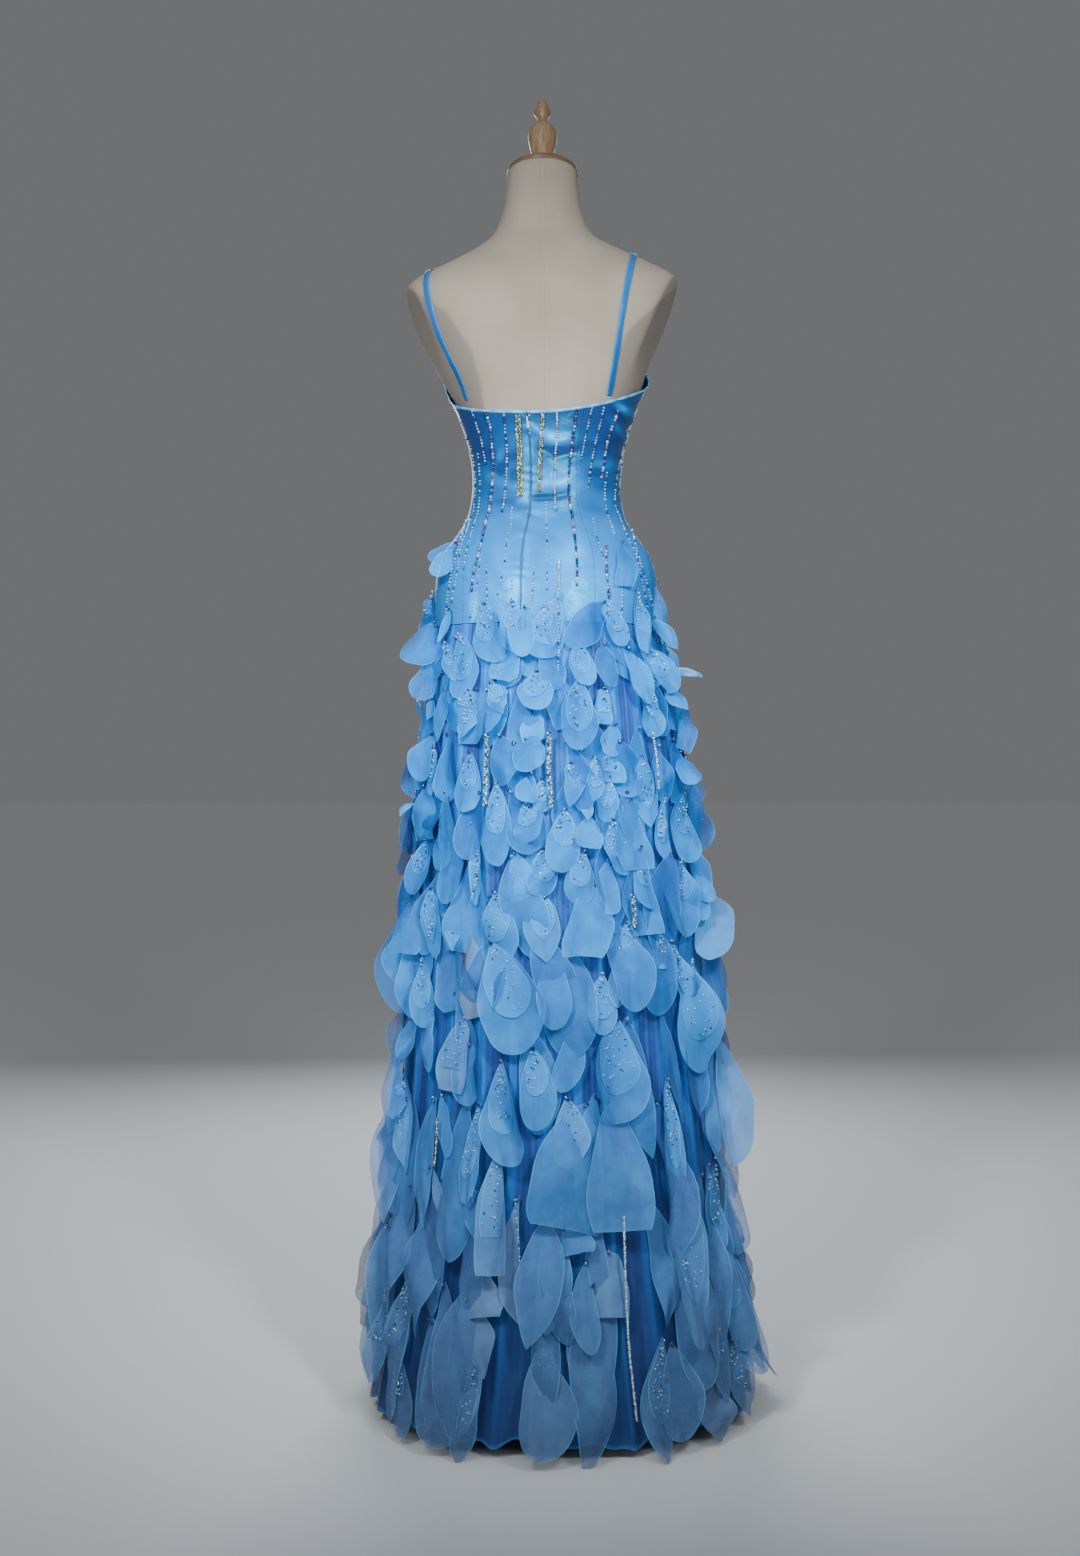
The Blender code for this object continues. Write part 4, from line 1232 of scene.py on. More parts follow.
BODICE_STRINGS = (
    # mix, strands side by side, then the pixels that the string passes, across and down in turn
    ("silver", 1, (472, 412, 481, 440, 486, 466)),
    ("jewels", 1, (485, 412, 490, 426, 492, 444, 493, 462, 492, 484, 490, 505, 486, 521, 483, 535,
     479, 552, 474, 572, 471, 592)),
    ("pearly", 1, (504, 412, 505, 430, 507, 451, 506, 481, 504, 501, 502, 511)),
    ("gold", 3, (518, 416, 519, 440, 520, 468, 520, 497)),
    ("gold", 2, (543, 413, 542, 430, 540, 462, 539, 492)),
    ("ivory", 1, (557, 412, 557, 437, 555, 462, 555, 503, 557, 511)),
    ("dark", 1, (577, 410, 574, 430, 572, 447, 569, 473, 569, 492, 571, 508, 572, 515, 574, 528,
     576, 552, 577, 567, 577, 586)),
    ("silver", 1, (592, 408, 589, 421, 585, 440, 581, 459)),
    ("silver", 1, (604, 408, 600, 425, 595, 445, 591, 467, 588, 489)),
    ("jewels", 1, (618, 411, 612, 428, 607, 444, 604, 465, 601, 480)),
    ("seeds", 1, (607, 473, 605, 488, 606, 506, 608, 515, 612, 526, 614, 533)),
    ("seeds", 1, (637, 412, 627, 440, 619, 467, 615, 500, 620, 517, 628, 537, 636, 553, 641, 575,
     648, 608)),
    ("seeds", 1, (641, 410, 630, 438, 622, 467, 619, 495)),
    ("seeds", 1, (459, 419, 466, 437, 472, 454, 475, 481, 474, 508, 471, 516, 466, 532, 461, 545,
     457, 572, 453, 592, 451, 604)),
    ("seeds", 1, (478, 454, 480, 486, 478, 510, 473, 526, 468, 545, 463, 570)),
    ("seeds", 1, (512, 508, 511, 524, 507, 538, 505, 559, 502, 575, 498, 592, 497, 604)),
    ("seeds", 1, (546, 502, 547, 545, 547, 594)),
    ("seeds", 1, (512, 575, 511, 613)),
    ("seeds", 1, (534, 567, 531, 613)),
    ("seeds", 1, (593, 519, 597, 538, 603, 556, 607, 572, 611, 602)),
    ("ivory", 1, (559, 560, 559, 590)),
    ("seeds", 1, (622, 554, 622, 613)),
    ("seeds", 1, (466, 520, 459, 545, 452, 570, 447, 600, 445, 622)),
    ("seeds", 1, (480, 560, 476, 590, 470, 618)),
    ("seeds", 1, (632, 530, 640, 560, 649, 590, 656, 618)),
    ("seeds", 1, (486, 566, 487, 600, 484, 620)),
    ("seeds", 1, (529, 412, 530, 436)),
    ("jewels", 1, (606, 545, 607, 575, 609, 600)),
)
SKIRT_STRINGS = (
    # mix, strands, how far off the cloth, then the pixels, across and down in turn
    ("twist", 2, 0.016, (487, 735, 486, 770, 485, 805)),
    ("twist", 2, 0.016, (549, 733, 549, 770, 552, 808)),
    ("silver", 1, 0.012, (558, 590, 559, 640, 558, 672)),
    ("ivory", 1, 0.020, (653, 733, 657, 760, 659, 788)),
    ("twist", 2, 0.020, (633, 895, 635, 928)),
    ("gold", 1, 0.022, (437, 1118, 436, 1145, 434, 1166)),
    ("seeds", 1, 0.024, (515, 1200, 519, 1250, 522, 1290)),
    ("hem", 1, 0.028, (624, 1218, 626, 1290, 629, 1345, 633, 1385, 637, 1422)),
    ("silver", 1, 0.018, (471, 900, 476, 880, 478, 850)),
)


# Steps along a string between two of its pixels, how far a bead strays as a share of its radius, how often
# its colour is an odd one, and the turn of twisted strands from bead to bead
ROUTE_STEPS = 14
BEAD_STRAY = 0.18
BEAD_ODD = 0.18
STRAND_TURN = 0.9
# The bodice's front strings: their kinds in turn, degrees, and the lowest that they reach
FRONT_KINDS = ("silver", "jewels", "pearly", "seeds", "gold", "ivory", "dark", "seeds")
FRONT_DEGREES = range(200, 346, 8)
FRONT_LOWEST = 1.09
FRONT_SKIRT_STRINGS = (
    # degrees, top height, length, mix
    (232, 0.62, 0.14, "ivory"),
    (262, 0.90, 0.09, "twist"),
    (288, 0.44, 0.18, "ivory"),
    (312, 0.70, 0.10, "seeds"),
)
FRONT_SKIRT_OUT = 0.020


def string_route(pixels, spacing, out):
    """Points at a spacing along a smooth line over the pixels, off the cloth by out."""
    table = [(k, *pixel) for k, pixel in enumerate(np.reshape(pixels, (-1, 2)))]
    spots = read(table, np.linspace(0, len(table) - 1, ROUTE_STEPS * len(table)))
    line = []
    for u, v in spots:
        angle, height, _ = on_dress(u, v, out)
        line.append(lay_point(angle, height, out))
    return spaced(np.array(line), spacing)


def spaced(line, spacing):
    """Points at even steps along a line."""
    steps = np.concatenate([[0], np.cumsum(np.linalg.norm(np.diff(line, axis=0), axis=-1))])
    at = np.arange(0, steps[-1], spacing)
    return np.stack([np.interp(at, steps, line[:, k]) for k in range(3)], axis=-1)


def add_string(beads, route, mix, strands, chance):
    """Beads along a route, in one strand or in strands twisted round each other."""
    radius, _, colours = BEAD_MIXES[mix]
    for k, place in enumerate(route):
        for strand in range(strands):
            swing = k * STRAND_TURN + math.tau * strand / strands
            aside = 0.0 if strands == 1 else radius * 0.55 * strands
            moved = place + np.array((math.cos(swing) * aside, math.sin(swing) * radius * 0.5, 0))
            moved = moved + np.array([chance.uniform(-1, 1) * radius * BEAD_STRAY for _ in range(3)])
            colour = colours[(k + strand) % len(colours)]
            if chance.random() < BEAD_ODD:
                colour = chance.choice(colours)
            beads.add(colour, moved, radius * chance.uniform(0.85, 1.12), chance.uniform(0.9, 1.5))


def build_bodice_beads():
    """Bead strings down the back as photographed, and the same kinds round the front."""
    chance = random.Random(SEED)
    beads = Beads("bodice")
    for mix, strands, pixels in BODICE_STRINGS:
        radius, spacing, _ = BEAD_MIXES[mix]
        add_string(beads, string_route(pixels, spacing, radius * 0.9), mix, strands, chance)
    for number, degrees in enumerate(FRONT_DEGREES):
        mix = FRONT_KINDS[number % len(FRONT_KINDS)]
        radius, spacing, _ = BEAD_MIXES[mix]
        angle = math.radians(degrees + chance.uniform(-1.5, 1.5))
        top = float(neckline(angle)) - 0.012
        bottom = top - chance.uniform(0.12, 0.24)
        heights = np.linspace(top, max(bottom, FRONT_LOWEST), 60)
        spread = angle + (heights - 1.24) ** 2 * (angle - math.radians(270)) * 1.5
        line = form_point(spread, heights, ease(heights) + SATIN + radius * 0.8, CUP_RISE)
        add_string(beads, spaced(line, spacing), mix, 2 if mix == "gold" else 1, chance)
    return beads.build()


# Petals


def petal_room():
    """The corners of the room that petals may take: the frame's box and a little more, above the floor."""
    low, high = (np.array(corner) for corner in CAD_BOX)
    proud = (high - low) * BOX_SHARE + BOX_PROUD
    low, high = low - proud, high + proud
    low[2] = FLOOR_GAP
    return low, high


PETAL_LOW, PETAL_HIGH = petal_room()


# What shapes a petal, drawn in this order: between two numbers, or one out of several
PETAL_DRAWS = (
    ("cup", (-0.42, 0.46)),
    ("bow", (-0.02, 0.09)),
    ("curl", (-0.08, 0.14)),
    ("twist", (-0.45, 0.45)),
    ("fold", (0.0, 0.0, 0.18, 0.26, 0.36, -0.28)),
    ("off", (-0.35, 0.35)),
    ("ripple", (0.02, 0.08)),
    ("waves", (0.8, 2.2)),
    ("phase", (0, math.tau)),
    ("bend", (-0.08, 0.08)),
    ("kink", (0.0, 0.18, 0.28, -0.24, 0.36)),
    ("kink_at", (0.45, 0.80)),
    ("slant", (-0.35, 0.35)),
    ("uneven", (0.03, 0.10)),
)
PETAL_CRUSH = 0.014
# What the photograph shows of two kinds, in place of the draws
PETAL_SHOWN = {
    "folded": {"kink": 0.26, "kink_at": 0.50, "slant": 0.30, "crush": 0.024},
    "crushed": {
        "kink": 0.20,
        "kink_at": 0.42,
        "slant": 0.60,
        "fold": 0.10,
        "off": 0.20,
        "twist": 0.04,
        "crush": 0.036,
        "cup": 0.10,
    },
}
# How rows crowd toward a petal's tip, where the last one lies, and the least half width
PETAL_CROWD = 1.15
PETAL_END = 0.9985
PETAL_LEAST = 0.0010
# Where the smaller petal sewn on top begins, as a share down, and how far it lies off the other
INNER_START = 0.012
INNER_LIFT = 0.0016


class Petal:
    """A teardrop of organza sewn on by its point. Places on it are metres across and a share down."""

    def __init__(self, root, tip, facing, width, kind, chance, base, slope):
        axis = tip - root
        self.root, self.length, self.width, self.kind = root, float(np.linalg.norm(axis)), width, kind
        self.along = axis / self.length
        across = np.cross(self.along, facing)
        self.across = across / np.linalg.norm(across)
        self.normal = np.cross(self.across, self.along)
        self.base, self.slope = base, slope
        for key, span in PETAL_DRAWS:
            setattr(self, key, chance.uniform(*span) if len(span) == 2 else chance.choice(span))
        self.ripple *= width
        self.crush = PETAL_CRUSH
        for key, value in PETAL_SHOWN.get(kind, {}).items():
            setattr(self, key, value)

    def half(self, down):
        """Half of the width at shares down."""
        rise, close, kept = PETAL_KINDS[self.kind]
        down = np.asarray(down, float) * kept
        best = rise / (rise + close)
        most = best**rise * (1 - best) ** close
        return np.maximum(self.width / 2 * down**rise * (1 - down) ** close / most, PETAL_LEAST)

    def points(self, across, down, lift=0.0):
        """Points of the petal, off its own surface by lift."""
        across, down = np.broadcast_arrays(np.asarray(across, float), np.asarray(down, float))
        share = across / self.width * 2
        turn = self.twist * down
        sideways = np.cos(turn)[..., None] * self.across + np.sin(turn)[..., None] * self.normal
        outward = np.cos(turn)[..., None] * self.normal - np.sin(turn)[..., None] * self.across
        edge = np.abs(share) ** 1.6 * down
        out = (
            self.bow * self.length * np.sin(np.pi * down)
            - self.cup * self.width / 2 * share**2
            + self.curl * self.length * down**2.5
            + self.ripple * edge * np.sin(math.tau * self.waves * down + self.phase + 1.9 * (share > 0))
            + self.fold * self.width / 2 * down**0.7 * (0.30 - np.sqrt((share - self.off) ** 2 + 0.006))
        )
        bent = down - self.kink_at + self.slant * share
        out = out + self.kink * self.length * (0.25 - np.sqrt(bent**2 + 0.0012))
        dents = np.sin(9 * down + 3.5 * share + self.phase) * np.sin(5 * share - 6 * down + 2 * self.phase)
        out = out + self.crush * self.length * down * dents
        swing = self.bend * self.length * np.sin(np.pi * down)
        places = (
            self.root
            + self.along * (self.length * down)[..., None]
            + sideways * (across + swing)[..., None]
            + outward * out[..., None]
        )
        need = self.base + self.slope * self.length * down
        places = pushed_out(places, need + lift)
        return np.clip(places + outward * lift, PETAL_LOW, PETAL_HIGH)

    def grid(self, rows, size=1.0, start=0.0, lift=0.0):
        """Points, faces, rim and shares down of the petal's mesh, or of a smaller petal sewn on top."""
        down = np.sin(np.linspace(0, 1, rows) * np.pi / 2) ** PETAL_CROWD
        down[-1] = PETAL_END
        halves = [float(self.half(d) * size) for d in down]
        shares = []
        for half in halves:
            inset = max(1 - PETAL_RIM / half, 0.84) if half > 0.002 else 0.9
            shares.append([-1, -inset, *(s * inset for s in PETAL_ACROSS), inset, 1])
        shares = np.array(shares)
        rims = np.zeros(shares.shape)
        rims[:, (0, -1)] = 1
        rims[-1] = 1
        wander = np.sin(9.0 * down[:, None] + self.phase + 2.6 * (shares > 0)) * np.sin(np.pi * down[:, None])
        halves = np.array(halves)[:, None] * (1 + self.uneven * wander)
        depths = (start + down * size)[:, None] + 0 * shares
        places = self.points(shares * halves, depths, lift)
        return places, grid_faces(*shares.shape), rims.ravel(), depths.ravel()


# The petals that show at the back, read from the photograph
BACK_PETALS = (
    # root pixel across, down, tip pixel across, down, width in pixels, kind, tone, 1 where beaded
    (458, 544, 429, 561, 21, "drop", 0.35, 0), (458, 546, 433, 577, 22, "drop", 0.85, 0),
    (488, 602, 497, 660, 38, "drop", 0.60, 1), (558, 598, 536, 660, 40, "drop", 0.60, 1),
    (515, 600, 510, 648, 26, "drop", 0.55, 1), (527, 606, 522, 656, 27, "round", 0.70, 0),
    (545, 606, 552, 648, 24, "leaf", 0.48, 1), (600, 601, 570, 645, 34, "round", 0.10, 0),
    (600, 601, 626, 642, 26, "drop", 0.70, 1), (617, 540, 624, 586, 24, "cut", 0.40, 0),
    (630, 586, 646, 658, 22, "slim", 0.45, 1), (633, 646, 676, 690, 30, "drop", 0.70, 1),
    (667, 668, 697, 684, 22, "drop", 0.75, 0), (661, 690, 688, 710, 17, "leaf", 0.65, 0),
    (650, 620, 678, 650, 16, "leaf", 0.55, 0), (438, 622, 406, 662, 40, "round", 0.35, 0),
    (438, 654, 418, 700, 32, "drop", 0.30, 0), (454, 608, 438, 642, 12, "leaf", 0.90, 0),
    (463, 632, 459, 697, 34, "drop", 0.62, 1), (449, 643, 455, 682, 20, "leaf", 0.55, 1),
    (517, 648, 501, 681, 26, "cut", 0.75, 0), (538, 670, 540, 712, 36, "round", 0.66, 1),
    (475, 688, 464, 718, 30, "drop", 0.68, 1), (494, 682, 505, 714, 22, "leaf", 0.72, 1),
    (578, 641, 588, 686, 27, "drop", 0.62, 1), (602, 641, 611, 688, 24, "drop", 0.12, 0),
    (577, 680, 580, 748, 37, "drop", 0.30, 1), (602, 688, 603, 724, 19, "panel", 0.75, 1),
    (623, 648, 645, 706, 32, "drop", 0.88, 0), (645, 688, 651, 738, 34, "drop", 0.90, 1),
    (489, 690, 492, 734, 34, "round", 0.55, 0), (475, 700, 459, 740, 24, "leaf", 0.85, 1),
    (437, 698, 427, 720, 13, "leaf", 0.50, 0), (450, 690, 440, 742, 22, "leaf", 0.50, 0),
    (532, 712, 533, 741, 25, "panel", 0.90, 0), (474, 752, 465, 813, 30, "drop", 0.58, 1),
    (501, 733, 504, 786, 31, "round", 0.22, 0), (526, 738, 533, 772, 35, "round", 0.60, 0),
    (532, 774, 526, 802, 24, "drop", 0.72, 0), (541, 778, 541, 812, 20, "drop", 0.60, 1),
    (528, 798, 532, 842, 31, "drop", 0.58, 1), (499, 780, 496, 863, 31, "drop", 0.60, 1),
    (570, 761, 571, 805, 22, "leaf", 0.60, 1), (592, 755, 591, 802, 19, "drop", 0.62, 1),
    (565, 806, 561, 871, 35, "drop", 0.66, 1), (583, 795, 588, 821, 14, "leaf", 0.80, 0),
    (588, 818, 586, 849, 29, "cut", 0.75, 0), (612, 724, 611, 757, 22, "round", 0.60, 0),
    (609, 752, 611, 783, 29, "cut", 0.62, 1), (607, 778, 605, 822, 27, "drop", 0.70, 1),
    (622, 792, 643, 852, 30, "leaf", 0.30, 0), (637, 758, 649, 828, 31, "leaf", 0.60, 1),
    (609, 818, 625, 875, 33, "drop", 0.72, 1), (657, 795, 665, 863, 21, "slim", 0.74, 1),
    (678, 779, 686, 865, 33, "drop", 0.45, 1), (674, 749, 694, 787, 25, "drop", 0.40, 0),
    (676, 700, 686, 744, 24, "panel", 0.30, 0), (436, 733, 419, 781, 28, "drop", 0.55, 0),
    (438, 747, 433, 796, 19, "slim", 0.80, 1), (431, 783, 424, 837, 42, "round", 0.60, 0),
    (420, 800, 400, 816, 12, "leaf", 0.80, 0), (430, 836, 410, 894, 27, "drop", 0.42, 1),
    (448, 822, 440, 870, 26, "drop", 0.45, 0), (474, 822, 474, 905, 14, "slim", 0.75, 1),
    (515, 850, 519, 902, 28, "drop", 0.85, 0), (455, 828, 452, 905, 34, "drop", 0.35, 0),
    (543, 845, 538, 895, 30, "drop", 0.62, 1), (583, 850, 580, 905, 30, "drop", 0.40, 1),
    (604, 862, 612, 915, 28, "drop", 0.60, 0), (640, 850, 648, 910, 30, "drop", 0.55, 1),
    (672, 850, 690, 918, 32, "drop", 0.50, 1), (690, 862, 712, 902, 22, "drop", 0.55, 0),
    (420, 885, 403, 954, 34, "cut", 0.25, 0), (436, 890, 440, 962, 26, "leaf", 0.80, 1),
    (457, 900, 454, 952, 18, "leaf", 0.75, 1), (496, 890, 497, 966, 42, "drop", 0.62, 1),
    (546, 896, 547, 962, 37, "leaf", 0.66, 1), (592, 882, 582, 956, 48, "folded", 0.64, 0),
    (625, 921, 635, 970, 32, "drop", 0.70, 1), (655, 933, 659, 970, 20, "drop", 0.68, 1),
    (690, 876, 699, 922, 31, "drop", 0.62, 0), (699, 882, 711, 963, 52, "round", 0.95, 0),
    (664, 940, 694, 1010, 30, "drop", 0.55, 1), (684, 958, 691, 1071, 60, "drop", 0.86, 1),
    (426, 952, 427, 1029, 27, "drop", 0.62, 1), (436, 984, 432, 1072, 20, "slim", 0.45, 0),
    (497, 944, 517, 1053, 69, "drop", 0.62, 1), (546, 950, 556, 1030, 34, "drop", 0.38, 0),
    (600, 974, 597, 1036, 34, "drop", 0.58, 1), (616, 948, 617, 1008, 20, "slim", 0.74, 1),
    (579, 1022, 559, 1092, 30, "drop", 0.50, 0), (616, 1016, 612, 1124, 62, "drop", 0.52, 1),
    (474, 1040, 467, 1106, 34, "drop", 0.45, 0), (468, 1015, 453, 1092, 44, "cut", 0.93, 1),
    (533, 1044, 538, 1131, 38, "drop", 0.66, 1), (505, 1062, 514, 1167, 44, "drop", 0.58, 1),
    (419, 1006, 399, 1060, 18, "slim", 0.40, 0), (407, 1056, 393, 1122, 20, "slim", 0.38, 1),
    (411, 1066, 412, 1172, 26, "slim", 0.60, 1), (446, 1094, 449, 1157, 16, "slim", 0.42, 0),
    (482, 1100, 469, 1205, 24, "slim", 0.55, 1), (404, 1112, 390, 1212, 28, "slim", 0.25, 0),
    (707, 1030, 733, 1163, 78, "crushed", 0.93, 0), (398, 1082, 385, 1228, 40, "leaf", 0.35, 0),
    (393, 1225, 377, 1368, 38, "leaf", 0.30, 0), (707, 1262, 724, 1402, 40, "leaf", 0.34, 1),
    (664, 1073, 673, 1205, 24, "slim", 0.62, 1), (706, 1154, 715, 1255, 30, "slim", 0.50, 1),
    (586, 1100, 566, 1230, 76, "folded", 0.50, 0), (612, 1098, 620, 1232, 64, "folded", 0.58, 0),
    (566, 1096, 567, 1168, 36, "drop", 0.78, 1), (607, 1248, 609, 1318, 43, "panel", 0.70, 0),
    (576, 1226, 578, 1254, 34, "panel", 0.62, 0), (499, 1148, 497, 1277, 34, "cut", 0.52, 1),
    (427, 1210, 423, 1339, 44, "leaf", 0.22, 0), (472, 1188, 480, 1242, 29, "leaf", 0.58, 0),
    (436, 1166, 452, 1222, 16, "slim", 0.80, 0), (478, 1255, 477, 1318, 50, "kite", 0.93, 0),
    (470, 1298, 496, 1378, 34, "leaf", 0.66, 0), (396, 1268, 375, 1384, 28, "slim", 0.45, 1),
    (413, 1272, 394, 1374, 32, "drop", 0.52, 1), (402, 1336, 406, 1439, 32, "slim", 0.48, 1),
    (437, 1310, 440, 1449, 52, "drop", 0.22, 0), (474, 1342, 458, 1463, 26, "slim", 0.40, 1),
    (546, 1218, 527, 1350, 46, "leaf", 0.44, 0), (560, 1236, 546, 1336, 34, "leaf", 0.58, 0),
    (542, 1336, 547, 1399, 27, "drop", 0.55, 1), (540, 1346, 540, 1463, 56, "drop", 0.44, 0),
    (585, 1258, 590, 1356, 28, "slim", 0.40, 0), (580, 1314, 589, 1479, 44, "leaf", 0.46, 0),
    (673, 1170, 688, 1352, 40, "drop", 0.62, 1), (683, 1218, 701, 1386, 56, "drop", 0.50, 0),
    (700, 1160, 728, 1264, 32, "slim", 0.44, 1), (660, 1337, 664, 1463, 34, "drop", 0.55, 1),
    (664, 1344, 684, 1442, 44, "drop", 0.40, 0), (712, 1228, 747, 1350, 40, "drop", 0.40, 1),
    (722, 1254, 764, 1374, 46, "round", 0.30, 0), (725, 1336, 750, 1416, 42, "leaf", 0.35, 1),
    (711, 1376, 718, 1442, 44, "round", 0.02, 0),
)
PIXEL = (CAMERA_PLACE.y - 0.15) / FOCAL_PIXELS
# How the photographed petals lie: off the cloth at the root and for each layer, and how far they stand up
BACK_ROOT = 0.0012
BACK_BASE = 0.0026
BACK_LAYER = 0.0016
BACK_CRUSHED = 0.0140
BACK_SLOPE = 0.075
BACK_STAND = (0.002, 0.016)
SHORTEST = 0.02
# How far those at the skirt's sides face the camera instead of out from the cloth
TURN_MOST = 0.60
TURN_FROM = 0.55
TURN_REACH = 0.30
TURN_BEYOND = 0.65
TURN_CRUSHED = 0.90
BEYOND_LEAST = 0.004


def back_petals(chance):
    """The photographed petals, with the row of the frame's petals that each belongs to."""
    made = []
    heights = np.array([row[0] for row in PETAL_ROWS])
    for number, (*pixels, width, kind, tone, beaded) in enumerate(BACK_PETALS):
        root, tip = pixels[:2], pixels[2:]
        angle, height, _ = on_dress(*root)
        start = lay_point(angle, height, BACK_ROOT)
        tip_angle, tip_height, beyond = on_dress(*tip)
        length = max(height - tip_height, SHORTEST)
        base = BACK_BASE + BACK_LAYER * (number % 3) + (BACK_CRUSHED if kind == "crushed" else 0.0)
        stand = base + BACK_SLOPE * length + chance.uniform(*BACK_STAND)
        faced = float(np.clip(tip_angle, *PETAL_FACES))
        end = at_depth(*tip, float(lay_point(faced, tip_height, stand)[1]))
        middle = float(np.clip((tip_angle + angle) / 2, *PETAL_FACES))
        facing = np.array((math.cos(middle), math.sin(middle), 0.0))
        turned = TURN_MOST * min(1.0, max(0.0, (abs(math.cos(middle)) - TURN_FROM) / TURN_REACH))
        if abs(beyond) > BEYOND_LEAST:
            turned = max(turned, TURN_BEYOND)
        if kind == "crushed":
            turned = TURN_CRUSHED
        facing = facing * (1 - turned) + np.array((0.0, turned, 0.1 * turned))
        petal = Petal(start, end, facing, width * PIXEL, kind, chance, base, BACK_SLOPE)
        row = int(np.argmin(np.abs(heights - height)))
        made.append((row, petal, tone, beaded))
    return made


# The petals that the photograph doesn't show: how much of each row is left out under the photographed ones,
# and the angles between which those lie
BACK_SKIPS = (0.85, 0.3, 0.2, 0.2, 0.2, 0.2, 0.2, 0.55, 0.55, 0.35, 0.25)
BACK_FIRST = math.radians(6)
BACK_LAST = math.radians(174)
LOW_FROM = 6
ROW_SPACING = 0.62
# Their lengths and widths as shares of the row's, leans and kinds, in the low rows at the back and elsewhere
LOW_STYLE = (0.80, 1.25), (0.36, 0.72), 0.07, ("slim", "leaf", "leaf")
PLAIN_STYLE = (0.72, 1.08), (0.70, 1.10), 0.16, ("drop", "drop", "round", "leaf", "slim", "cut")
# Off the cloth, more for each layer, palest tone and share of the turn, at the back and at the front
BACK_LIE = 0.0008, 0.0007, 0.55, 0.4
FRONT_LIE = 0.0010, 0.0016, 0.8, 1.0
FLAT_SLOPE = 0.022
FRONT_SLOPE = 0.065
FRONT_BEADED = 0.7


def row_petals(number, chance):
    """A row's petals where the photograph doesn't show them: the front, and a few under the back ones."""
    height, length, width, flare = PETAL_ROWS[number]
    section = lay_section(height, 0.0)
    girth = math.pi * (section[1] + (section[2] + section[3]) / 2)
    count = int(round(girth / (width * ROW_SPACING)))
    made = []
    for k in range(count):
        angle = math.tau * (k + 0.5 * (number % 2) + chance.uniform(-0.25, 0.25)) / count
        angle %= math.tau
        at_back = BACK_FIRST < angle < BACK_LAST
        low = at_back and number > LOW_FROM
        if at_back and chance.random() < BACK_SKIPS[number]:
            continue
        longs, wides, leans, kinds = LOW_STYLE if low else PLAIN_STYLE
        off, layer, palest, turns = BACK_LIE if at_back else FRONT_LIE
        root_height = height + chance.uniform(-0.016, 0.016)
        long = length * chance.uniform(*longs)
        wide = width * chance.uniform(*wides)
        if at_back and not low:
            wide = wide * 0.92
        lean = chance.gauss(0, leans)
        turn = chance.uniform(-0.5, 0.5)
        beside = abs(math.sin(angle)) < 0.5
        stand = flare * chance.uniform(0.2, 1.0) * (0.1 if beside else 1.0)
        base = off + layer * (k % 3)
        slope = FLAT_SLOPE if at_back or beside else FRONT_SLOPE
        kind = chance.choice(kinds)
        tone = chance.uniform(0.0, palest)
        start = lay_point(angle, root_height, 0.0010)
        radius = math.hypot(*start[:2])
        tip_angle = angle + lean * long / radius
        tip_height = max(root_height - long * math.cos(lean), HEM + 0.002)
        end = lay_point(tip_angle, tip_height, base + slope * long + (0.0 if at_back else stand))
        faced = angle + turn * turns
        facing = np.array((math.cos(faced), math.sin(faced), 0.0))
        if beside:
            facing = facing + np.array((0.0, math.copysign(chance.uniform(0.2, 1.2), facing[1]), 0.0))
        petal = Petal(start, end, facing, wide, kind, chance, base, slope)
        made.append((number, petal, tone, (not at_back) and chance.random() < FRONT_BEADED))
    return made


# The beads on a petal: their colours, how many on the smaller petal and how many at the point
SPARKLE_COLOURS = ("blue", "blue", "crystal", "crystal", "silver", "crystal", "silver")
SPARKLES = 13
SPARKLES_PER_METRE = 180
ROOT_COLOURS = ("blue", "blue", "blue", "violet", "sky")
ROOT_COUNTS = (2, 3, 3, 4)


def add_petal_beads(beads, petal, size, lift, chance):
    """Sparkles and dark dots on the smaller petal."""
    count = int(SPARKLES + petal.length * SPARKLES_PER_METRE)
    for _ in range(count):
        down = 0.10 + 0.84 * chance.random() ** 1.3
        half = float(petal.half(down)) * size
        across = chance.uniform(-0.82, 0.82) * half
        place = petal.points(across, INNER_START + down * size, lift + 0.0008)
        colour = chance.choice(SPARKLE_COLOURS)
        beads.add(colour, place, chance.uniform(0.0008, 0.0014))


def add_root_beads(beads, petal, chance):
    """The dark cluster that sews a petal's point down."""
    for k in range(chance.choice(ROOT_COUNTS)):
        place = petal.points(chance.uniform(-0.0018, 0.0018), 0.006 + 0.012 * k, 0.0022)
        beads.add(chance.choice(ROOT_COLOURS), place, chance.uniform(0.0017, 0.0026))


# Tones at which a petal counts as the deepest or the palest, and the first row in which others are greyed
DEEPEST = 0.05
PALEST = 0.91
ASHEN_FROM = 5
ASHEN_MOST = 0.85


def ashen_share(tone, number, chance):
    """How far a petal is greyed. The deepest and the palest are greyed most, the palest in every row."""
    strong = 0.6 if tone < DEEPEST or tone > PALEST else 0.9 * (tone - 0.5)
    share = 0.5 * chance.gauss(-0.1, 0.35) + strong
    return max(0.0, min(ASHEN_MOST, share)) if number > ASHEN_FROM or tone > PALEST else 0.0


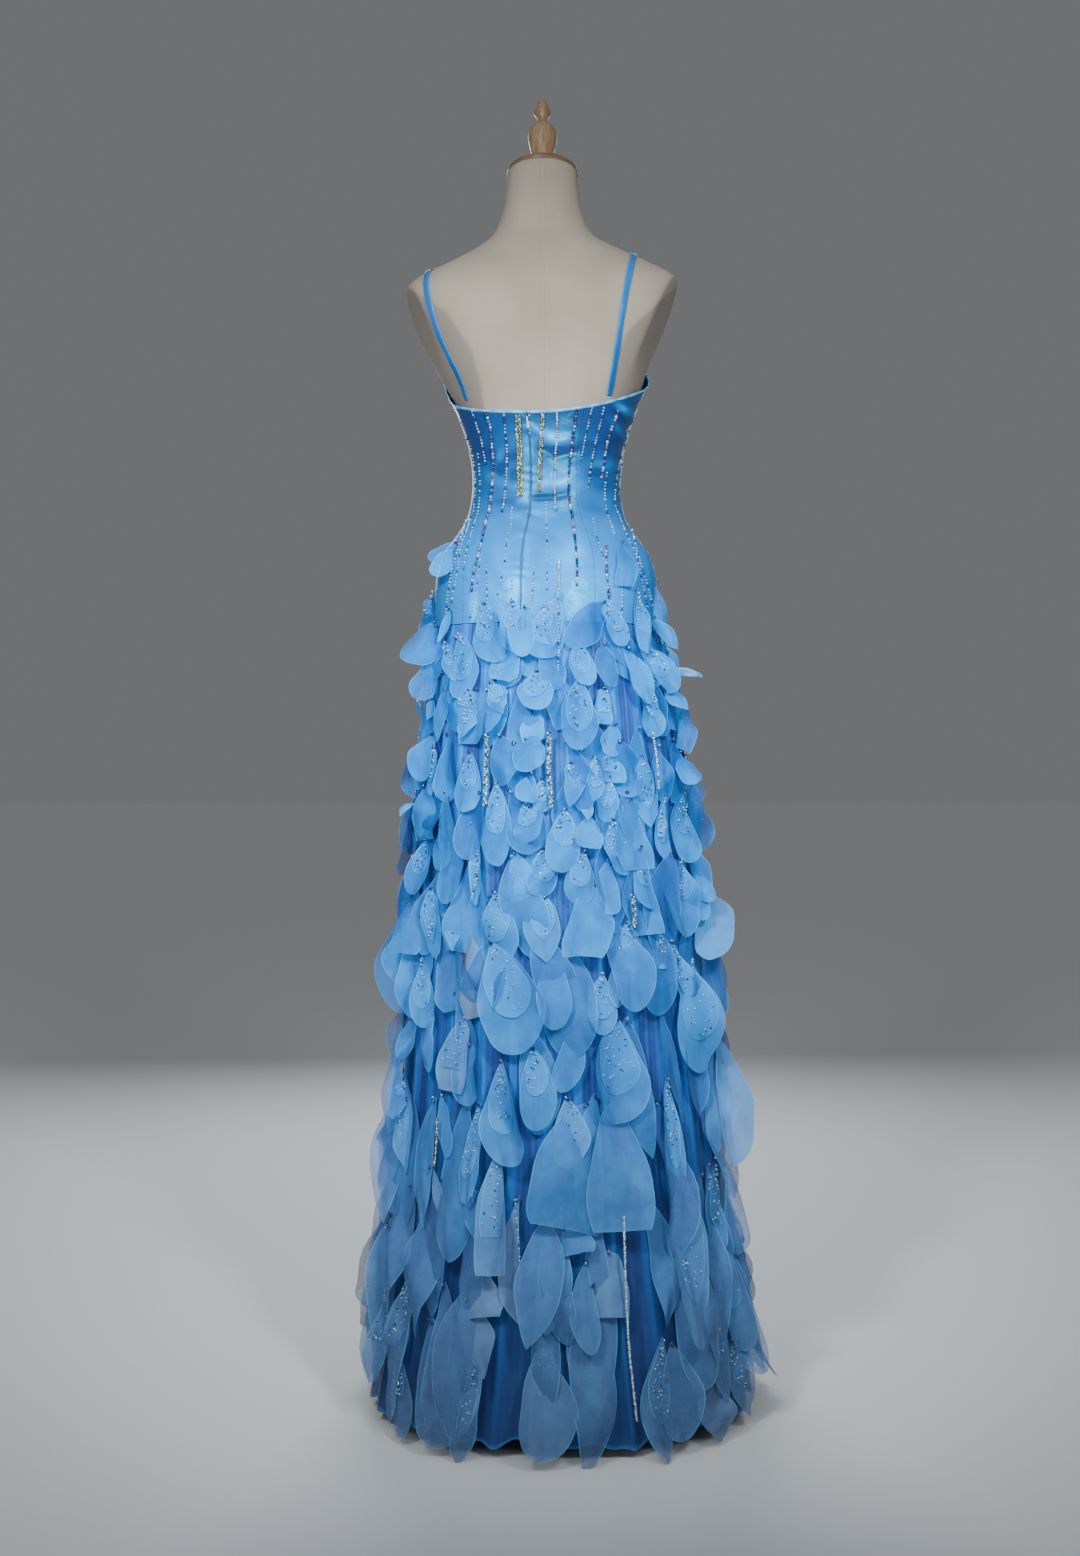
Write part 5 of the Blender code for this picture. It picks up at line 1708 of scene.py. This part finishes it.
def build_petals():
    """All rows of petals, each row one piece, and their beads."""
    chance = random.Random(SEED)
    every = back_petals(chance)
    for number in range(len(PETAL_ROWS)):
        every += row_petals(number, chance)
    beads = Beads("petals")
    made = []
    for number in range(len(PETAL_ROWS)):
        gathered = Gathered()
        flat_area, longest, total = 0.0, 0.0, 0.0
        for _, petal, tone, beaded in (entry for entry in every if entry[0] == number):
            places, faces, rim, down = petal.grid(PETAL_DOWN_STEPS + 1)
            # Painted highlight: paler toward the tip
            shade = tone + chance.uniform(-0.06, 0.06) + PETAL_TIP_HIGHLIGHT * (down - 0.45)
            ashen = ashen_share(tone, number, chance)
            veil = max(-0.3, 2.2 * (tone - 0.5) + chance.uniform(-0.5, 0.5))
            gathered.add(places, faces, rim=rim, tone=shade, veil=veil, ashen=ashen)
            downs = np.linspace(0, 1, 60)
            cut_area = float(np.mean(2 * petal.half(downs)) * petal.length)
            flat_area += cut_area
            longest = max(longest, petal.length)
            total += petal.width
            add_root_beads(beads, petal, chance)
            if beaded:
                size = chance.uniform(0.60, 0.76)
                places, faces, rim, down = petal.grid(PETAL_DOWN_STEPS - 2, size, INNER_START, INNER_LIFT)
                # Painted highlight: paler toward the tip
                shade = tone + chance.uniform(0.10, 0.28) + PETAL_TIP_HIGHLIGHT * (down - 0.35)
                veil = chance.uniform(-1, 1)
                gathered.add(places, faces, rim=rim, tone=shade, veil=veil, ashen=ashen * 0.5)
                flat_area += cut_area * size * size
                total += petal.width * size
                add_petal_beads(beads, petal, size, INNER_LIFT, chance)
        piece = gathered.build(f"petals_{number + 1:02d}_organza", LOOKS["petal"])
        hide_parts(f"petal_row_{number + 1:02d}")
        made.append((piece, total, longest, flat_area))
    beads.build()
    return made


def build_skirt_beads():
    """Loose bead strings over the petals, as photographed at the back and fewer round the front."""
    chance = random.Random(SEED + 1)
    beads = Beads("skirt")
    for mix, strands, out, pixels in SKIRT_STRINGS:
        _, spacing, _ = BEAD_MIXES[mix]
        add_string(beads, string_route(pixels, spacing, out), mix, strands, chance)
    for degrees, top, fall, mix in FRONT_SKIRT_STRINGS:
        _, spacing, _ = BEAD_MIXES[mix]
        heights = np.linspace(top, top - fall, 40)
        line = lay_point(math.radians(degrees) + 0 * heights, heights, FRONT_SKIRT_OUT + 0 * heights)
        add_string(beads, spaced(line, spacing), mix, 2 if mix == "twist" else 1, chance)
    beads.build()


# The studio


FLOOR_REACH = 60.0
FLOOR_COLOUR = (0.655, 0.665, 0.675)
FLOOR_ROUGHNESS = (0.70, 0.80)
LAMPS = (
    # name, place, aim, size, watts, spread in degrees, colour
    ("key", (0.30, 1.60, 2.05), (0.0, 0.1, 1.25), 0.5, 5.8, 180, (0.88, 0.96, 1.0)),
    ("left", (0.65, 1.80, 1.75), (0.0, 0.15, 0.93), 0.25, 6.1, 58, (0.88, 0.96, 1.0)),
    ("right", (-0.65, 1.80, 1.70), (0.0, 0.15, 0.89), 0.25, 5.5, 58, (0.88, 0.96, 1.0)),
    ("far", (0.15, -2.4, 1.9), (0.0, 0.0, 1.0), 1.4, 52, 180, (0.90, 0.96, 1.0)),
)
CEILING_STRENGTH = 0.28
CEILING_SPREAD = math.radians(60)
BACKDROP = (0.80, 0.82, 0.85, 1)
BACKDROP_STRENGTH = 0.20


def build_studio():
    """A pale floor, soft lights and the photograph's camera."""
    floor_look = Look("studio_floor", FLOOR_COLOUR, 0.75)
    floor_look.feeds("Roughness", floor_look.between(floor_look.noise(3), *FLOOR_ROUGHNESS))
    mesh = bpy.data.meshes.new("studio_floor")
    corners = [(x * FLOOR_REACH, y * FLOOR_REACH, 0) for x, y in ((-1, -1), (1, -1), (1, 1), (-1, 1))]
    mesh.from_pydata(corners, [], [(0, 1, 2, 3)])
    mesh.materials.append(floor_look.material)
    floor = bpy.data.objects.new("studio_floor", mesh)
    bpy.context.scene.collection.objects.link(floor)
    for name, place, aim, size, watts, spread, colour in LAMPS:
        data = bpy.data.lights.new(name, "AREA")
        data.energy = watts
        data.size = size
        data.spread = math.radians(spread)
        data.color = colour
        light = bpy.data.objects.new(name, data)
        light.location = place
        light.rotation_euler = (Vector(aim) - Vector(place)).to_track_quat("-Z", "Y").to_euler()
        light.visible_camera = False
        bpy.context.scene.collection.objects.link(light)
    data = bpy.data.lights.new("ceiling", "SUN")
    data.energy = CEILING_STRENGTH
    data.angle = CEILING_SPREAD
    bpy.context.scene.collection.objects.link(bpy.data.objects.new("ceiling", data))
    world = bpy.data.worlds.new("studio")
    world.use_nodes = True
    backdrop = world.node_tree.nodes["Background"]
    backdrop.inputs["Color"].default_value = BACKDROP
    backdrop.inputs["Strength"].default_value = BACKDROP_STRENGTH
    bpy.context.scene.world = world
    data = bpy.data.cameras.new("photo_camera")
    data.sensor_width = SENSOR
    data.lens = SENSOR * FOCAL_PIXELS / PHOTO_HEIGHT
    camera = bpy.data.objects.new("photo_camera", data)
    camera.location = CAMERA_PLACE
    camera.rotation_euler = (math.radians(90), 0, math.radians(180))
    bpy.context.scene.collection.objects.link(camera)
    bpy.context.scene.camera = camera


def main():
    form = build_form()
    build_turned_top()
    finish_stand()
    bodice = build_bodice()
    trims = [build_binding(), *build_straps(form), *build_zip(), *build_bodice_beads()]
    for side in ("back", "front"):
        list(build_overskirt(side))
        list(build_underskirt(side))
    petals = build_petals()
    build_skirt_beads()
    build_studio()


main()
